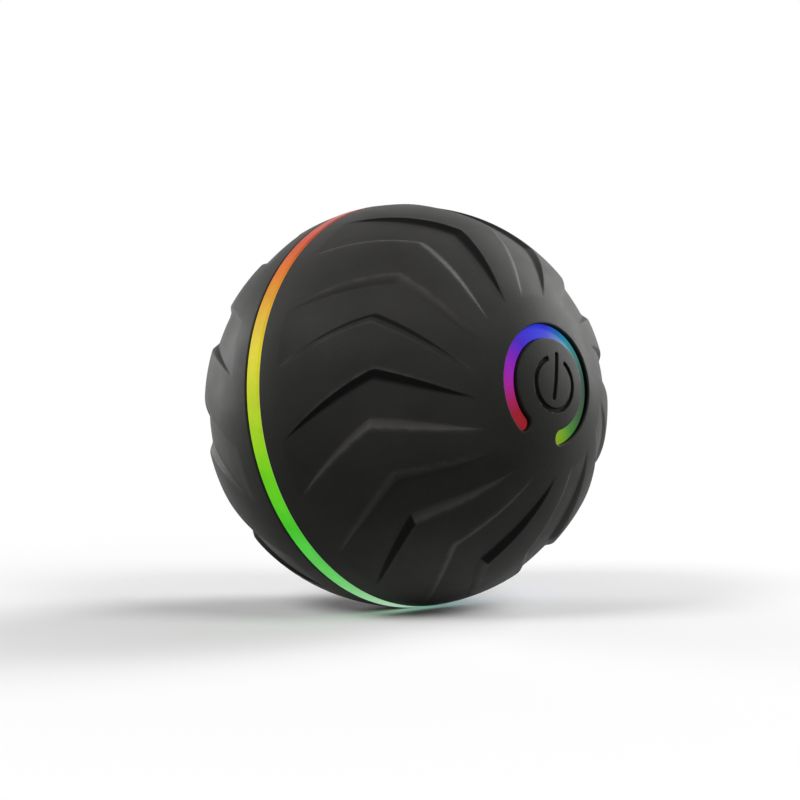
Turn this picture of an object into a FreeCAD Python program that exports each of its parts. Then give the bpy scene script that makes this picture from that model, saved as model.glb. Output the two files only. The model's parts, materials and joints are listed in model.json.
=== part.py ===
import FreeCAD, Part
import os
from math import sin, cos, tan, radians, degrees, sqrt, atan2, acos, pi

# Self-rolling dog ball, in millimetres. The origin is the ball's centre, the rolling axis
# is Y with the power button at -Y and the charging port at +Y, and +Z is up.
V = FreeCAD.Vector
xAxis = V(1, 0, 0)
yAxis = V(0, 1, 0)
zAxis = V(0, 0, 1)
centre = V(0, 0, 0)
past = 1.0                  # how far a cutting tool runs past what it cuts

# The outside: rubber tread covers over two rigid cups, with a glowing ring at the seam
ball_diameter = 76.0
cover_wall = 3.2
cup_wall = 2.0
band_width = 3.3
band_gap = 0.12             # dark line each side of the glowing ring
band_proud = 0.05
band_web = 1.6              # flange of the glowing ring, clamped between the cup rims
band_web_depth = 2.2
band_edge = 0.35
cover_edge = 0.35
cup_edge = 0.2
bead_from_rim = 3.0         # ridge inside a cover's rim that clips into the cup
bead_width = 1.6
bead_height = 0.7
bead_clearance = 0.05

# The chevron tread. A place on the ball is given by two angles in degrees: its angle from
# the button pole, and its angle round the rolling axis from +Z towards -X.
tread_count = 10
tread_depth = 0.95
tread_wall_run = 1.6        # how far a groove's wall slopes sideways over its depth
tread_groove_share = 0.445  # the groove's part of one pitch, the lug has the rest
tread_apex_first = 52.2     # apex of the groove's leading wall, from the pole
tread_apex_second = 54.8    # apex of its trailing wall
tread_pole_end = 25.5
tread_band_end = 80.5
tread_pole_sweep = 13.6     # how far round the axis an arm trails at its pole end
tread_band_sweep = 19.0     # and at its band end
tread_steps = 3             # sections along each arm
tread_overrun = 0.06        # share of an arm that its cutter runs on past the end
mark_angle = -17.6          # where the button's mark points, round the rolling axis

# Power button and its light arc
arc_inner_radius = 8.45
arc_width = 2.55
arc_recess = 1.0
arc_gap_half_angle = 29.0
arc_clearance = 0.06
arc_flange_width = 0.7
arc_flange_thickness = 0.9
arc_foot_gap = 0.6          # light arc above its LEDs
button_gap = 0.14
button_thickness = 2.3
button_tongue_width = 5.2
button_tongue_reach = 1.0   # past the light arc's outer edge
button_heel_radius = 0.9    # round heel under the tongue's end, which rocks in the cup
button_heel_inset = 0.2     # the heel's round side, in from the tongue's end
button_heel_sink = 0.3      # how deep the heel lies in the cup's wall
button_travel = 0.4         # at the stem
stem_radius = 2.0
stem_hole_clearance = 0.4
touch_gap = 0.02            # the stem's round tip above the switch's plunger

# Charging port and its stopper
port_width = 8.94
port_height = 3.26
port_length = 9.6
port_wall = 0.3
port_blade_width = 6.3
port_blade_thickness = 0.7
port_inset = 1.4            # mouth of the port below the cup's outer surface
port_slot_clearance = 0.25
port_blade_inset = 0.6      # blade below the mouth
plug_cap_radius = 7.6
plug_cap_thickness = 1.5
plug_clearance = 0.12
plug_seat_gap = 0.02
plug_blade_length = 3.2
plug_notch_radius = 1.6     # fingernail notch beside the cap
plug_stem_offset = 5.5
plug_stem_radius = 0.8
plug_bulb_radius = 1.25     # end of the stem, which keeps the stopper on the ball
plug_bulb_length = 0.9
plug_travel = 7.0

# Screws
screw_radius = 1.1
screw_head_radius = 2.1
screw_head_height = 1.5
screw_head_clearance = 0.1
screw_bite = 5.0
board_screw_bite = 2.0
fixing_count = 3
boss_start = 90.0           # bearings of the first cup boss, plate post and pillar
post_start = 30.0
pillar_start = 60.0

# Chassis
plate_thickness = 2.0
motor_plate_y = -3.0        # the face that carries the gears
boss_radius = 2.9
boss_clearance = 0.5
cup_screw_seat = 7.8        # seat of a cup screw, from the seam
pillar_radius = 2.2
plate_edge = 0.5            # plate beyond a pillar
inner_gap = 0.5             # between pieces of the chassis and the cup
spider_hub_radius = 7.5

# Gear train
train_gap = 2.85            # between the widest wheel and the cup's bosses
pressure_angle = 25.0
tooth_addendum = 0.8        # in modules
tooth_dedendum = 1.05       # in modules
tooth_backlash = 0.05
pinion_teeth = 10
wheel_teeth = 36
last_pinion_teeth = 12
output_teeth = 40
wheel_thickness = 1.9
layer_gap = 0.5
wheel_pin_radius = 0.75
running_clearance = 0.03
second_wheel_bearing = 90.0     # direction of the second wheel from the main shaft
first_wheel_bearing = -20.0     # direction of the first wheel from the second
motor_bearing = -95.0           # direction of the motor from the first wheel

# Counterweight and its shaft
weight_thickness = 9.2
weight_sector = 172.0
weight_hub_radius = 5.0
weight_edge = 0.8
swing_gap = 0.6
shaft_radius = 1.5
shaft_flat = 0.5
shaft_end = 1.0
bush_wall = 1.3
bush_flange_width = 1.1
bush_flange_thickness = 0.6
clip_width = 1.75
clip_groove = 0.35
clip_thickness = 0.5
clip_mouth = 1.8
end_float = 0.1

# Motor and battery
motor_gap = 1.19            # between the motor and the shaft's clip
motor_flat_step = 1.0       # each flat, in from the can's round side
motor_cap_length = 1.5
motor_cap_step = 0.35
motor_nose_radius = 2.0
motor_nose_length = 0.8
motor_shaft_radius = 0.5
motor_shaft_tail = 0.8
motor_tag_length = 1.4
motor_tag_width = 1.6
motor_tag_thickness = 0.4
battery_thickness = 9.0
battery_length = 30.0
battery_gap = 1.8           # between the battery's strap and the board's chips
battery_edge = 1.5
strap_width = 6.0
strap_thickness = 0.8

# Boards, LEDs, switch and flat lead
board_to_pole = 8.6         # from the main board to the inside of the cup's pole
board_thickness = 1.2
board_edge_gap = 1.2
board_post_radius = 1.9
board_margin = 1.4
chip_height = 1.4
chip_size = 6.0
stack_gap = 0.7             # between the motor's tags and the board's chips
led_size = 2.0
led_height = 0.8
arc_led_count = 7
band_led_count = 20
strip_thickness = 0.25
strip_width = 4.4
switch_size = 6.0
switch_height = 2.4
switch_plunger_radius = 1.6
switch_plunger_height = 1.2
switch_plunger_depth = 0.5
switch_floor_gap = 0.1
port_board_depth = 12.0
port_board_corner = 2.0
lead_width = 4.0
lead_thickness = 0.3
lead_gap = 0.5
lead_lap = 1.6              # how far the lead lies on the charging board

# Worked-out sizes: shells
ball_radius = ball_diameter / 2
cup_outer = ball_radius - cover_wall
cup_inner = cup_outer - cup_wall
cover_rim = band_width / 2 + band_gap
rim_y = band_web / 2
web_inner = cup_outer - band_web_depth
strip_outer = web_inner - led_height
strip_inner = strip_outer - strip_thickness
pitch_angle = 360.0 / tread_count
arc_outer_radius = arc_inner_radius + arc_width
tongue_end = arc_outer_radius + button_tongue_reach
heel_place = tongue_end - button_heel_inset - button_heel_radius

# Worked-out places along the rolling axis, from the button to the charging port
plate_back = motor_plate_y - plate_thickness
board_y = board_to_pole - cup_inner
board_inner_y = board_y + board_thickness
chip_top = board_inner_y + chip_height
motor_back = chip_top + stack_gap + motor_tag_length + motor_cap_length
battery_width = plate_back - chip_top - strap_thickness - battery_gap
switch_top = board_y - switch_height
plunger_tip = switch_top - switch_plunger_height
layer_one = motor_plate_y + layer_gap
layer_two = layer_one + wheel_thickness + layer_gap
layer_three = layer_two + wheel_thickness + layer_gap
weight_low = layer_three + wheel_thickness + layer_gap
weight_high = weight_low + weight_thickness
spider_low = weight_high + layer_gap + bush_flange_thickness
spider_high = spider_low + plate_thickness
port_mouth = cup_outer - port_inset
port_board_y = port_mouth - port_length


def sphereReach(radius, other):
    """How far a sphere reaches one way, at a distance from its centre the other way."""
    return sqrt(radius * radius - other * other)


# Worked-out distances from the rolling axis
heel_y = button_heel_sink - button_heel_radius - sphereReach(cup_outer, heel_place)
boss_circle = strip_inner - inner_gap - boss_radius
plate_radius = boss_circle + boss_radius
pillar_reach = sphereReach(cup_inner, spider_high + screw_head_height) - inner_gap
pillar_circle = pillar_reach - screw_head_radius
boss_inner_edge = boss_circle - boss_radius
weight_radius = min(pillar_circle - pillar_radius, boss_inner_edge) - swing_gap
board_radius = sphereReach(cup_inner, board_y) - board_edge_gap
board_post_circle = board_radius - board_post_radius - board_margin
gear_module = (boss_inner_edge - train_gap) / ((last_pinion_teeth + output_teeth) / 2
                                               + wheel_teeth / 2 + tooth_addendum)
bush_radius = shaft_radius + bush_wall
bush_flange_radius = bush_radius + bush_flange_width
clip_radius = shaft_radius - clip_groove + clip_width
battery_x = -(bush_flange_radius + inner_gap + strap_thickness + battery_thickness / 2)
port_post_offset = port_width / 2 + board_post_radius + inner_gap
port_board_half = port_post_offset + screw_head_radius + board_margin + lead_lap
lead_outer = strip_inner - lead_gap
plug_seat = sphereReach(ball_radius, plug_cap_radius) - plug_cap_thickness
above_cover = -ball_radius - past
below_cover = -cup_outer / 2


def onBall(colatitude, angle, radius):
    """A point at an angle from the button pole and an angle round the rolling axis."""
    ring = radius * sin(radians(colatitude))
    turn = radians(angle)
    return V(-ring * sin(turn), -radius * cos(radians(colatitude)), ring * cos(turn))


def across(bearing, distance):
    """A point off the rolling axis: bearing 0 is +X and 90 is +Z."""
    turn = radians(bearing)
    return V(distance * cos(turn), 0, distance * sin(turn))


def spacing(driver, driven):
    """Centre distance of two wheels in mesh."""
    return gear_module * (driver + driven) / 2


second_wheel_place = across(second_wheel_bearing, spacing(last_pinion_teeth, output_teeth))
first_wheel_place = second_wheel_place + across(first_wheel_bearing,
                                                spacing(pinion_teeth, wheel_teeth))
motor_place = first_wheel_place + across(motor_bearing, spacing(pinion_teeth, wheel_teeth))
motor_width = 2 * (motor_place.Length - clip_radius - motor_gap)


def rod(radius, y_low, y_high, place=centre):
    """A cylinder along Y."""
    return Part.makeCylinder(radius, y_high - y_low, V(place.x, y_low, place.z), yAxis)


def tube(outer, inner, y_low, y_high, place=centre):
    return rod(outer, y_low, y_high, place).cut(rod(inner, y_low - past, y_high + past, place))


def block(x_low, x_high, y_low, y_high, z_low, z_high):
    return Part.makeBox(x_high - x_low, y_high - y_low, z_high - z_low, V(x_low, y_low, z_low))


def spun(shape, angle):
    """Turn a shape about the rolling axis, from +Z towards -X."""
    copy = shape.copy()
    copy.rotate(centre, yAxis, -angle)
    return copy


def towards(shape, place):
    """Turn a shape that points to +Z about the rolling axis, to point at a place."""
    return spun(shape, -degrees(atan2(place.x, place.z)))


def mirrored(shape):
    return shape.mirror(centre, yAxis)


def lathe(edges):
    """Revolve a closed profile in the YZ half-plane about the rolling axis."""
    return Part.Face(Part.Wire(edges)).revolve(centre, yAxis, 360)


def extruded(points, y_low, y_high):
    """Extrude an outline given as (x, z) pairs from y_low to y_high."""
    corners = [V(x, y_low, z) for x, z in points]
    face = Part.Face(Part.makePolygon(corners + [corners[0]]))
    return face.extrude(V(0, y_high - y_low, 0))


def joined(shapes):
    return shapes[0].multiFuse(shapes[1:]).removeSplitter()


def ringOf(start, circle):
    """Places of the fixings round the rolling axis."""
    return [across(start + k * 360.0 / fixing_count, circle) for k in range(fixing_count)]


def rodsAt(places, radius, y_low, y_high):
    return [rod(radius, y_low, y_high, place) for place in places]


def save(name, shape):
    shape.exportStep("parts/" + name + ".step")
    print(name, len(shape.Solids), "solids", round(shape.Volume, 1), "mm3", shape.isValid())


bosses = ringOf(boss_start, boss_circle)
posts = ringOf(post_start, boss_circle)
pillars = ringOf(pillar_start, pillar_circle)
board_posts = ringOf(boss_start, board_post_circle)
port_posts = [V(side * port_post_offset, 0, 0) for side in (-1, 1)]


def halfShell(outer, inner, rim, edge):
    """A hollow half ball on the button side, open at y = -rim, with a chamfered outer edge."""
    arc_end = V(0, -rim - edge, sphereReach(outer, rim + edge))
    lip = V(0, -rim, arc_end.z - edge)
    inner_top = V(0, -rim, sphereReach(inner, rim))
    outer_pole = V(0, -outer, 0)
    inner_pole = V(0, -inner, 0)
    outside = Part.Arc(outer_pole, onBall(45, 0, outer), arc_end).toShape()
    inside = Part.Arc(inner_top, onBall(45, 0, inner), inner_pole).toShape()
    return lathe([outside, Part.makeLine(arc_end, lip), Part.makeLine(lip, inner_top), inside,
                  Part.makeLine(inner_pole, outer_pole)])


def floorCircle():
    """Section of the groove floor: a circle that meets the ball at both ends of the tread."""
    middle = (tread_pole_end + tread_band_end) / 2
    return Part.Circle(onBall(tread_pole_end, 0, ball_radius),
                       onBall(middle, 0, ball_radius - tread_depth),
                       onBall(tread_band_end, 0, ball_radius))


def floorBody():
    """A turned body whose outside is the floor of the grooves, from the axis to the seam."""
    circle = floorCircle()
    middle = circle.Center
    at_pole = V(0, middle.y - sphereReach(circle.Radius, middle.z), 0)
    at_seam = V(0, 0, middle.z + sphereReach(circle.Radius, middle.y))
    halfway = onBall((tread_pole_end + tread_band_end) / 2, 0, ball_radius - tread_depth)
    return lathe([Part.Arc(at_pole, halfway, at_seam).toShape(),
                  Part.makeLine(at_seam, centre), Part.makeLine(centre, at_pole)])


def floorDepth(colatitude):
    """Depth of the groove floor under the ball's surface in one direction."""
    circle = floorCircle()
    along = circle.Center.dot(onBall(colatitude, 0, 1.0))
    centre_square = circle.Center.dot(circle.Center)
    return ball_radius - along - sqrt(along * along - centre_square + circle.Radius ** 2)


def grooveSection(share):
    """Section across a groove; share runs from -1 at the pole end over 0 at the apex to 1."""
    end = tread_band_end if share > 0 else tread_pole_end
    sweep = tread_band_sweep if share > 0 else tread_pole_sweep
    half = pitch_angle * tread_groove_share / 2
    trail = sweep * abs(share)
    first_angle = tread_apex_first + (end - tread_apex_first) * abs(share)
    second_angle = tread_apex_second + (end - tread_apex_second) * abs(share)
    first = onBall(first_angle, trail - half, 1.0)
    second = onBall(second_angle, trail + half, 1.0)
    inward = (second - first).normalize() * (tread_wall_run / tread_depth)
    above = 2 * tread_depth
    below = floorDepth((first_angle + second_angle) / 2) + tread_depth / 3
    corners = [first * (ball_radius + above) - inward * above,
               second * (ball_radius + above) + inward * above,
               second * (ball_radius - below) - inward * below,
               first * (ball_radius - below) + inward * below]
    return Part.makePolygon(corners + [corners[0]])


def grooveCutters():
    """One V-shaped groove with sloping walls, repeated round the button half."""
    reach = 1 + tread_overrun
    sections = [grooveSection(reach * k / tread_steps)
                for k in range(-tread_steps, tread_steps + 1)]
    groove = Part.makeLoft(sections, True, True).cut(floorBody())
    return [spun(groove, mark_angle + k * pitch_angle) for k in range(tread_count)]


def coverBead(grow):
    """The ridge inside a cover's rim, or with grow the channel for it in the cup."""
    top = -rim_y - bead_from_rim
    root = cup_outer + cover_wall / 4
    return tube(root, cup_outer - bead_height - grow, top - bead_width - grow, top + grow)


def coverHalf():
    shell = halfShell(ball_radius, cup_outer, cover_rim, cover_edge)
    return shell.fuse(coverBead(0.0)).cut(grooveCutters())


def arcOutline(inner, outer, y):
    """A C-shaped face with round ends about the rolling axis, open towards -Z."""
    mean = (inner + outer) / 2
    tip = degrees((outer - inner) / 2 / mean)
    low = -90.0 + arc_gap_half_angle
    high = 270.0 - arc_gap_half_angle

    def at(bearing, radius):
        return across(bearing, radius) + V(0, y, 0)

    curves = [Part.Arc(at(low, outer), at(90, outer), at(high, outer)),
              Part.Arc(at(high, outer), at(high + tip, mean), at(high, inner)),
              Part.Arc(at(high, inner), at(90, inner), at(low, inner)),
              Part.Arc(at(low, inner), at(low - tip, mean), at(low, outer))]
    return Part.Face(Part.Wire([curve.toShape() for curve in curves]))


def arcPrism(grow, y_low, y_high):
    """The light arc's outline, grown all round, extruded and turned to the mark."""
    face = arcOutline(arc_inner_radius - grow, arc_outer_radius + grow, y_low)
    return spun(face.extrude(V(0, y_high - y_low, 0)), mark_angle)


def flapPrism(grow, y_low, y_high):
    """The button's outline: a round pad with a tongue that points away from the mark."""
    pad = rod(arc_inner_radius - button_gap + grow, y_low, y_high)
    half = button_tongue_width / 2 + grow
    tongue = block(-half, half, y_low, y_high, -tongue_end - grow, 0)
    return spun(pad.fuse(tongue), mark_angle)


def heelRod(grow):
    """The round heel under the tongue's end, or with grow the channel for it in the cup."""
    half = button_tongue_width / 2 + grow
    heel = Part.makeCylinder(button_heel_radius + grow, 2 * half,
                             V(-half, heel_y, -heel_place), xAxis)
    return spun(heel, mark_angle)


def coverButtonSide(half):
    """Tread cover with the opening for the button and its light arc."""
    return half.cut([arcPrism(arc_clearance, above_cover, below_cover),
                     flapPrism(button_gap, above_cover, below_cover),
                     rod(arc_inner_radius, above_cover, below_cover)])


def coverChargingSide(half):
    """Tread cover with a recess for the stopper, drawn on the button side and mirrored."""
    recess = rod(plug_cap_radius + plug_clearance, above_cover, -plug_seat)
    notch = rod(plug_notch_radius, above_cover, -plug_seat, V(0, 0, -plug_cap_radius))
    slot = portPrism(port_wall + port_slot_clearance, above_cover, below_cover)
    stem_hole = rod(plug_stem_radius + plug_clearance, above_cover, below_cover,
                    V(0, 0, plug_stem_offset))
    return mirrored(half.cut([recess, notch, slot, stem_hole]))


def portPrism(grow, y_low, y_high):
    """The charging port's rounded outline, extruded along the rolling axis."""
    radius = port_height / 2 + grow
    half = port_width / 2 - port_height / 2
    middle = block(-half, half, y_low, y_high, -radius, radius)
    return joined([middle] + rodsAt([V(-half, 0, 0), V(half, 0, 0)], radius, y_low, y_high))


def lightBand():
    """Glowing ring: a rim flush with the tread and a web between the cup rims."""
    outer = ball_radius + band_proud
    half = band_width / 2
    section = [V(0, -half, cup_outer), V(0, -half, outer - band_edge),
               V(0, -half + band_edge, outer), V(0, half - band_edge, outer),
               V(0, half, outer - band_edge), V(0, half, cup_outer),
               V(0, rim_y, cup_outer), V(0, rim_y, web_inner),
               V(0, -rim_y, web_inner), V(0, -rim_y, cup_outer)]
    return Part.Face(Part.makePolygon(section + [section[0]])).revolve(centre, yAxis, 360)


def cupHalf():
    return halfShell(cup_outer, cup_inner, rim_y, cup_edge).cut(coverBead(bead_clearance))


def cupButtonSide():
    """Rigid cup with screw bosses, posts for the motor plate and posts for the main board."""
    ribs = rodsAt(bosses, boss_radius, -cup_outer, -rim_y)
    ribs += rodsAt(posts, boss_radius, -cup_outer, plate_back)
    ribs += rodsAt(board_posts, board_post_radius, -cup_outer, board_y)
    inside = Part.makeSphere(cup_inner + cup_wall / 2)
    cup = cupHalf().fuse(joined(ribs).common(inside))
    holes = rodsAt(bosses, screw_radius, -rim_y - screw_bite - past, 0)
    holes += rodsAt(posts, screw_radius, plate_back - screw_bite - past, plate_back + past)
    holes += rodsAt(board_posts, screw_radius, board_y - board_screw_bite, board_y + past)
    holes.append(rod(stem_radius + stem_hole_clearance, -cup_outer - past, plunger_tip))
    holes.append(arcPrism(arc_clearance, -cup_outer - past, plunger_tip))
    holes.append(heelRod(running_clearance))
    return cup.cut(holes)


def cupChargingSide():
    """Rigid cup with sunk screw holes and the port's slot, drawn mirrored."""
    ribs = rodsAt(bosses, boss_radius, -cup_outer, -rim_y)
    ribs += rodsAt(port_posts, board_post_radius, -cup_outer, -port_board_y)
    inside = Part.makeSphere(cup_inner + cup_wall / 2)
    cup = cupHalf().fuse(joined(ribs).common(inside))
    head_hole = screw_head_radius + screw_head_clearance
    holes = rodsAt(bosses, screw_radius, -cup_screw_seat - past, 0)
    holes += rodsAt(bosses, head_hole, -cup_outer, -cup_screw_seat)
    holes += rodsAt(port_posts, screw_radius, -port_board_y - screw_bite - past,
                    -port_board_y + past)
    holes.append(portPrism(port_wall + port_slot_clearance, -cup_outer - past, -port_board_y))
    holes.append(rod(plug_stem_radius + plug_clearance, -cup_outer - past, -port_board_y,
                     V(0, 0, plug_stem_offset)))
    return mirrored(cup.cut(holes))


def screw(seat, tip, place):
    """A pan-head screw along Y from its seat to its tip, with the head beyond the seat."""
    outwards = 1 if seat > tip else -1
    head_end = seat + outwards * screw_head_height
    shank = rod(screw_radius, min(seat, tip), max(seat, tip), place)
    head = rod(screw_head_radius, min(seat, head_end), max(seat, head_end), place)
    return shank.fuse(head)


def screwsAt(places, seat, tip):
    return [screw(seat, tip, place) for place in places]


def cupScrews():
    return Part.makeCompound(screwsAt(bosses, cup_screw_seat, -rim_y - screw_bite))


def motorPlateScrews():
    return Part.makeCompound(screwsAt(posts, motor_plate_y, plate_back - screw_bite))


def boardScrews():
    """Screws of the main board and of the charging board."""
    main = screwsAt(board_posts, board_inner_y, board_y - board_screw_bite)
    charging = screwsAt(port_posts, port_board_y - board_thickness, port_board_y + screw_bite)
    return Part.makeCompound(main + charging)


def pillarScrews():
    """Screws through both plates into the pillars."""
    far = screwsAt(pillars, spider_high, spider_low - screw_bite)
    near = screwsAt(pillars, plate_back, motor_plate_y + screw_bite)
    return Part.makeCompound(far + near)


def powerButton():
    """Round pad on a tongue and its heel, with the stem that presses the switch."""
    skin = Part.makeSphere(ball_radius).cut(Part.makeSphere(ball_radius - button_thickness))
    pad = flapPrism(0.0, above_cover, below_cover).common(skin)
    tip_centre = plunger_tip - touch_gap - stem_radius
    stem = rod(stem_radius, -ball_radius + button_thickness / 2, tip_centre)
    tip = Part.makeSphere(stem_radius, V(0, tip_centre, 0))
    return joined([pad, stem, tip, heelRod(0.0)])


def buttonLightArc():
    """C-shaped light guide: its curved top lies under the surface, its flange in the cup."""
    foot = board_y - led_height - arc_foot_gap
    body = arcPrism(0.0, -ball_radius, foot).common(Part.makeSphere(ball_radius - arc_recess))
    flange_low = -sphereReach(cup_inner, arc_outer_radius + arc_flange_width)
    flange = arcPrism(arc_flange_width, flange_low, flange_low + arc_flange_thickness)
    return body.fuse(flange)


def mainBoard():
    board = rod(board_radius, board_y, board_inner_y)
    return board.cut(rodsAt(board_posts, screw_radius, board_y - past, board_inner_y + past))


def boardParts():
    """LEDs under the light arc, and the chips on the board's inner face."""
    mean = (arc_inner_radius + arc_outer_radius) / 2
    half = led_size / 2
    end_turn = 180.0 - arc_gap_half_angle
    led = block(-half, half, board_y - led_height, board_y, mean - half, mean + half)
    pieces = [spun(led, mark_angle + end_turn * (2.0 * k / (arc_led_count - 1) - 1))
              for k in range(arc_led_count)]
    chips = [(V(0, 0, 0), 1.0), (V(1.5, 0, 1), 0.8), (V(1.4, 0, -0.8), 0.5), (V(-1.5, 0, -0.6), 0.7)]
    for place, size in chips:
        low_x = (place.x - size / 2) * chip_size
        low_z = (place.z - size / 2) * chip_size
        pieces.append(block(low_x, low_x + size * chip_size, board_inner_y, chip_top,
                            low_z, low_z + size * chip_size))
    return Part.makeCompound(pieces)


def switchBody():
    half = switch_size / 2
    body = block(-half, half, switch_top, board_y, -half, half)
    floor = switch_top + switch_plunger_depth + button_travel + switch_floor_gap
    return body.cut(rod(switch_plunger_radius + running_clearance, switch_top - past, floor))


def switchPlunger():
    return rod(switch_plunger_radius, plunger_tip, switch_top + switch_plunger_depth)


def bandLedStrip():
    """Flexible strip with its LEDs, which face the web of the glowing ring."""
    half = led_size / 2
    strip = tube(strip_outer, strip_inner, -strip_width / 2, strip_width / 2)
    led = block(-half, half, -half, half, strip_inner + strip_thickness / 2, web_inner)
    led = led.common(rod(web_inner, -half, half))
    return joined([strip] + [spun(led, k * 360.0 / band_led_count) for k in range(band_led_count)])


def involute(base, radius):
    """Angle through which an involute has turned at a radius."""
    if radius <= base:
        return 0.0
    reach = acos(base / radius)
    return tan(reach) - reach


def gearWheel(teeth, y_low, y_high, place, tooth_bearing):
    """A spur gear along Y with one tooth centred on the given bearing."""
    pitch = gear_module * teeth / 2
    tip = pitch + tooth_addendum * gear_module
    root = pitch - tooth_dedendum * gear_module
    base = pitch * cos(radians(pressure_angle))
    half_tooth = pi / (2 * teeth) - tooth_backlash / (2 * pitch)
    wide = half_tooth + involute(base, pitch)
    outline = []
    for tooth in range(teeth):
        middle = radians(tooth_bearing) + 2 * pi * tooth / teeth
        for side, radii in ((-1, (root, pitch, tip)), (1, (tip, pitch, root))):
            for radius in radii:
                turn = middle + side * (wide - involute(base, radius))
                outline.append((place.x + radius * cos(turn), place.z + radius * sin(turn)))
    return extruded(outline, y_low, y_high)


def halfPitch(teeth):
    return 180.0 / teeth


def compoundGear(place, wheel_low, driver_bearing, small_teeth, driven_bearing):
    """A wheel that takes the drive from one side and a pinion that passes it on."""
    wheel_high = wheel_low + wheel_thickness
    top = wheel_high + layer_gap + wheel_thickness
    wheel = gearWheel(wheel_teeth, wheel_low, wheel_high, place,
                      driver_bearing + halfPitch(wheel_teeth))
    small = gearWheel(small_teeth, wheel_high, top, place, driven_bearing)
    bore = rod(wheel_pin_radius + running_clearance, wheel_low - past, top + past, place)
    return wheel.fuse(small).cut(bore)


def firstCompoundGear():
    return compoundGear(first_wheel_place, layer_one, motor_bearing, pinion_teeth,
                        first_wheel_bearing + 180)


def secondCompoundGear():
    return compoundGear(second_wheel_place, layer_two, first_wheel_bearing,
                        last_pinion_teeth, second_wheel_bearing + 180)


def outputGear():
    high = layer_three + wheel_thickness
    wheel = gearWheel(output_teeth, layer_three, high, centre,
                      second_wheel_bearing + halfPitch(output_teeth))
    return wheel.cut(flattedShaft(layer_three - past, high + past))


def gearPins():
    """Fixed pins of the two compound gears, pressed into the motor plate."""
    first_top = layer_three - layer_gap / 2
    second_top = weight_low - layer_gap / 2
    return Part.makeCompound([rod(wheel_pin_radius, plate_back, first_top, first_wheel_place),
                              rod(wheel_pin_radius, plate_back, second_top, second_wheel_place)])


def motorPinion():
    """Pinion on the motor's shaft, with a tooth on the line to the first wheel."""
    high = layer_one + wheel_thickness
    wheel = gearWheel(pinion_teeth, layer_one, high, motor_place, motor_bearing + 180)
    return wheel.cut(rod(motor_shaft_radius, layer_one - past, high + past, motor_place))


def motorShaft():
    return rod(motor_shaft_radius, motor_back - motor_cap_length - motor_shaft_tail,
               layer_one + wheel_thickness, motor_place)


def motorFlats(step, y_low, y_high):
    half = motor_width / 2 - motor_flat_step - step
    return block(motor_place.x - half, motor_place.x + half, y_low, y_high,
                 motor_place.z - motor_width, motor_place.z + motor_width)


def motorCan():
    """Round can with two flats, and the nose that locates it in the plate."""
    can = rod(motor_width / 2, motor_back, plate_back, motor_place)
    nose = rod(motor_nose_radius, plate_back, plate_back + motor_nose_length, motor_place)
    bore = rod(motor_shaft_radius + running_clearance, motor_back - past, motor_plate_y,
               motor_place)
    return can.common(motorFlats(0.0, motor_back, plate_back)).fuse(nose).cut(bore)


def motorEndCap():
    """Plastic end of the motor, with its two terminals."""
    low = motor_back - motor_cap_length
    cap = rod(motor_width / 2 - motor_cap_step, low, motor_back, motor_place)
    cap = cap.common(motorFlats(motor_cap_step, low, motor_back))
    across_half = motor_tag_width / 2
    thick_half = motor_tag_thickness / 2
    tag_z = motor_width / 2 - motor_tag_width
    tags = [block(motor_place.x - across_half, motor_place.x + across_half,
                  low - motor_tag_length, low, motor_place.z + side * tag_z - thick_half,
                  motor_place.z + side * tag_z + thick_half) for side in (-1, 1)]
    bore = rod(motor_shaft_radius + running_clearance, low - past, motor_back + past, motor_place)
    return joined([cap] + tags).cut(bore)


def motorPlate():
    """Round plate that carries the motor, the gear pins and a bush, notched for the bosses."""
    low = plate_back - past
    high = motor_plate_y + past
    notch = boss_radius + boss_clearance
    cuts = rodsAt(bosses, notch, low, high)
    cuts += [towards(block(-notch, notch, low, high, boss_circle, cup_outer), place)
             for place in bosses]
    cuts += rodsAt(posts + pillars, screw_radius, low, high)
    cuts += rodsAt([first_wheel_place, second_wheel_place], wheel_pin_radius, low, high)
    cuts += [rod(motor_nose_radius, low, high, motor_place), rod(bush_radius, low, high)]
    lead_half = lead_width / 2 + lead_gap
    lead_slot = sphereReach(lead_outer - lead_thickness, plate_back) - lead_gap
    cuts.append(block(lead_slot, cup_outer, low, high, -lead_half, lead_half))
    return rod(plate_radius, plate_back, motor_plate_y).cut(cuts)


def bearingPlate():
    """Three-armed plate on the pillars that holds the far end of the shaft."""
    half = pillar_radius + plate_edge
    arm = block(-half, half, spider_low, spider_high, 0, pillar_circle)
    arms = [towards(arm, place) for place in pillars]
    pads = rodsAt(pillars, half, spider_low, spider_high)
    holes = rodsAt(pillars, screw_radius, spider_low - past, spider_high + past)
    holes.append(rod(bush_radius, spider_low - past, spider_high + past))
    return joined([rod(spider_hub_radius, spider_low, spider_high)] + arms + pads).cut(holes)


def platePillars():
    """Tubes that hold the plates apart."""
    return Part.makeCompound([tube(pillar_radius, screw_radius, motor_plate_y, spider_low, place)
                              for place in pillars])


def bush(plate_low, flange_low):
    """A flanged bush pressed into a plate."""
    body = rod(bush_radius, plate_low, plate_low + plate_thickness)
    flange = rod(bush_flange_radius, flange_low, flange_low + bush_flange_thickness)
    low = min(plate_low, flange_low) - past
    bore = rod(shaft_radius + running_clearance, low, low + plate_thickness * 2 + past * 2)
    return body.fuse(flange).cut(bore)


def flattedShaft(y_low, y_high):
    """The D-section that drives the weight and the output gear."""
    flat = shaft_radius - shaft_flat
    below = block(-shaft_radius, shaft_radius, y_low, y_high, -shaft_radius, flat)
    return rod(shaft_radius, y_low, y_high).common(below)


clip_places = [plate_back - end_float - clip_thickness, spider_high + end_float]


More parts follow.
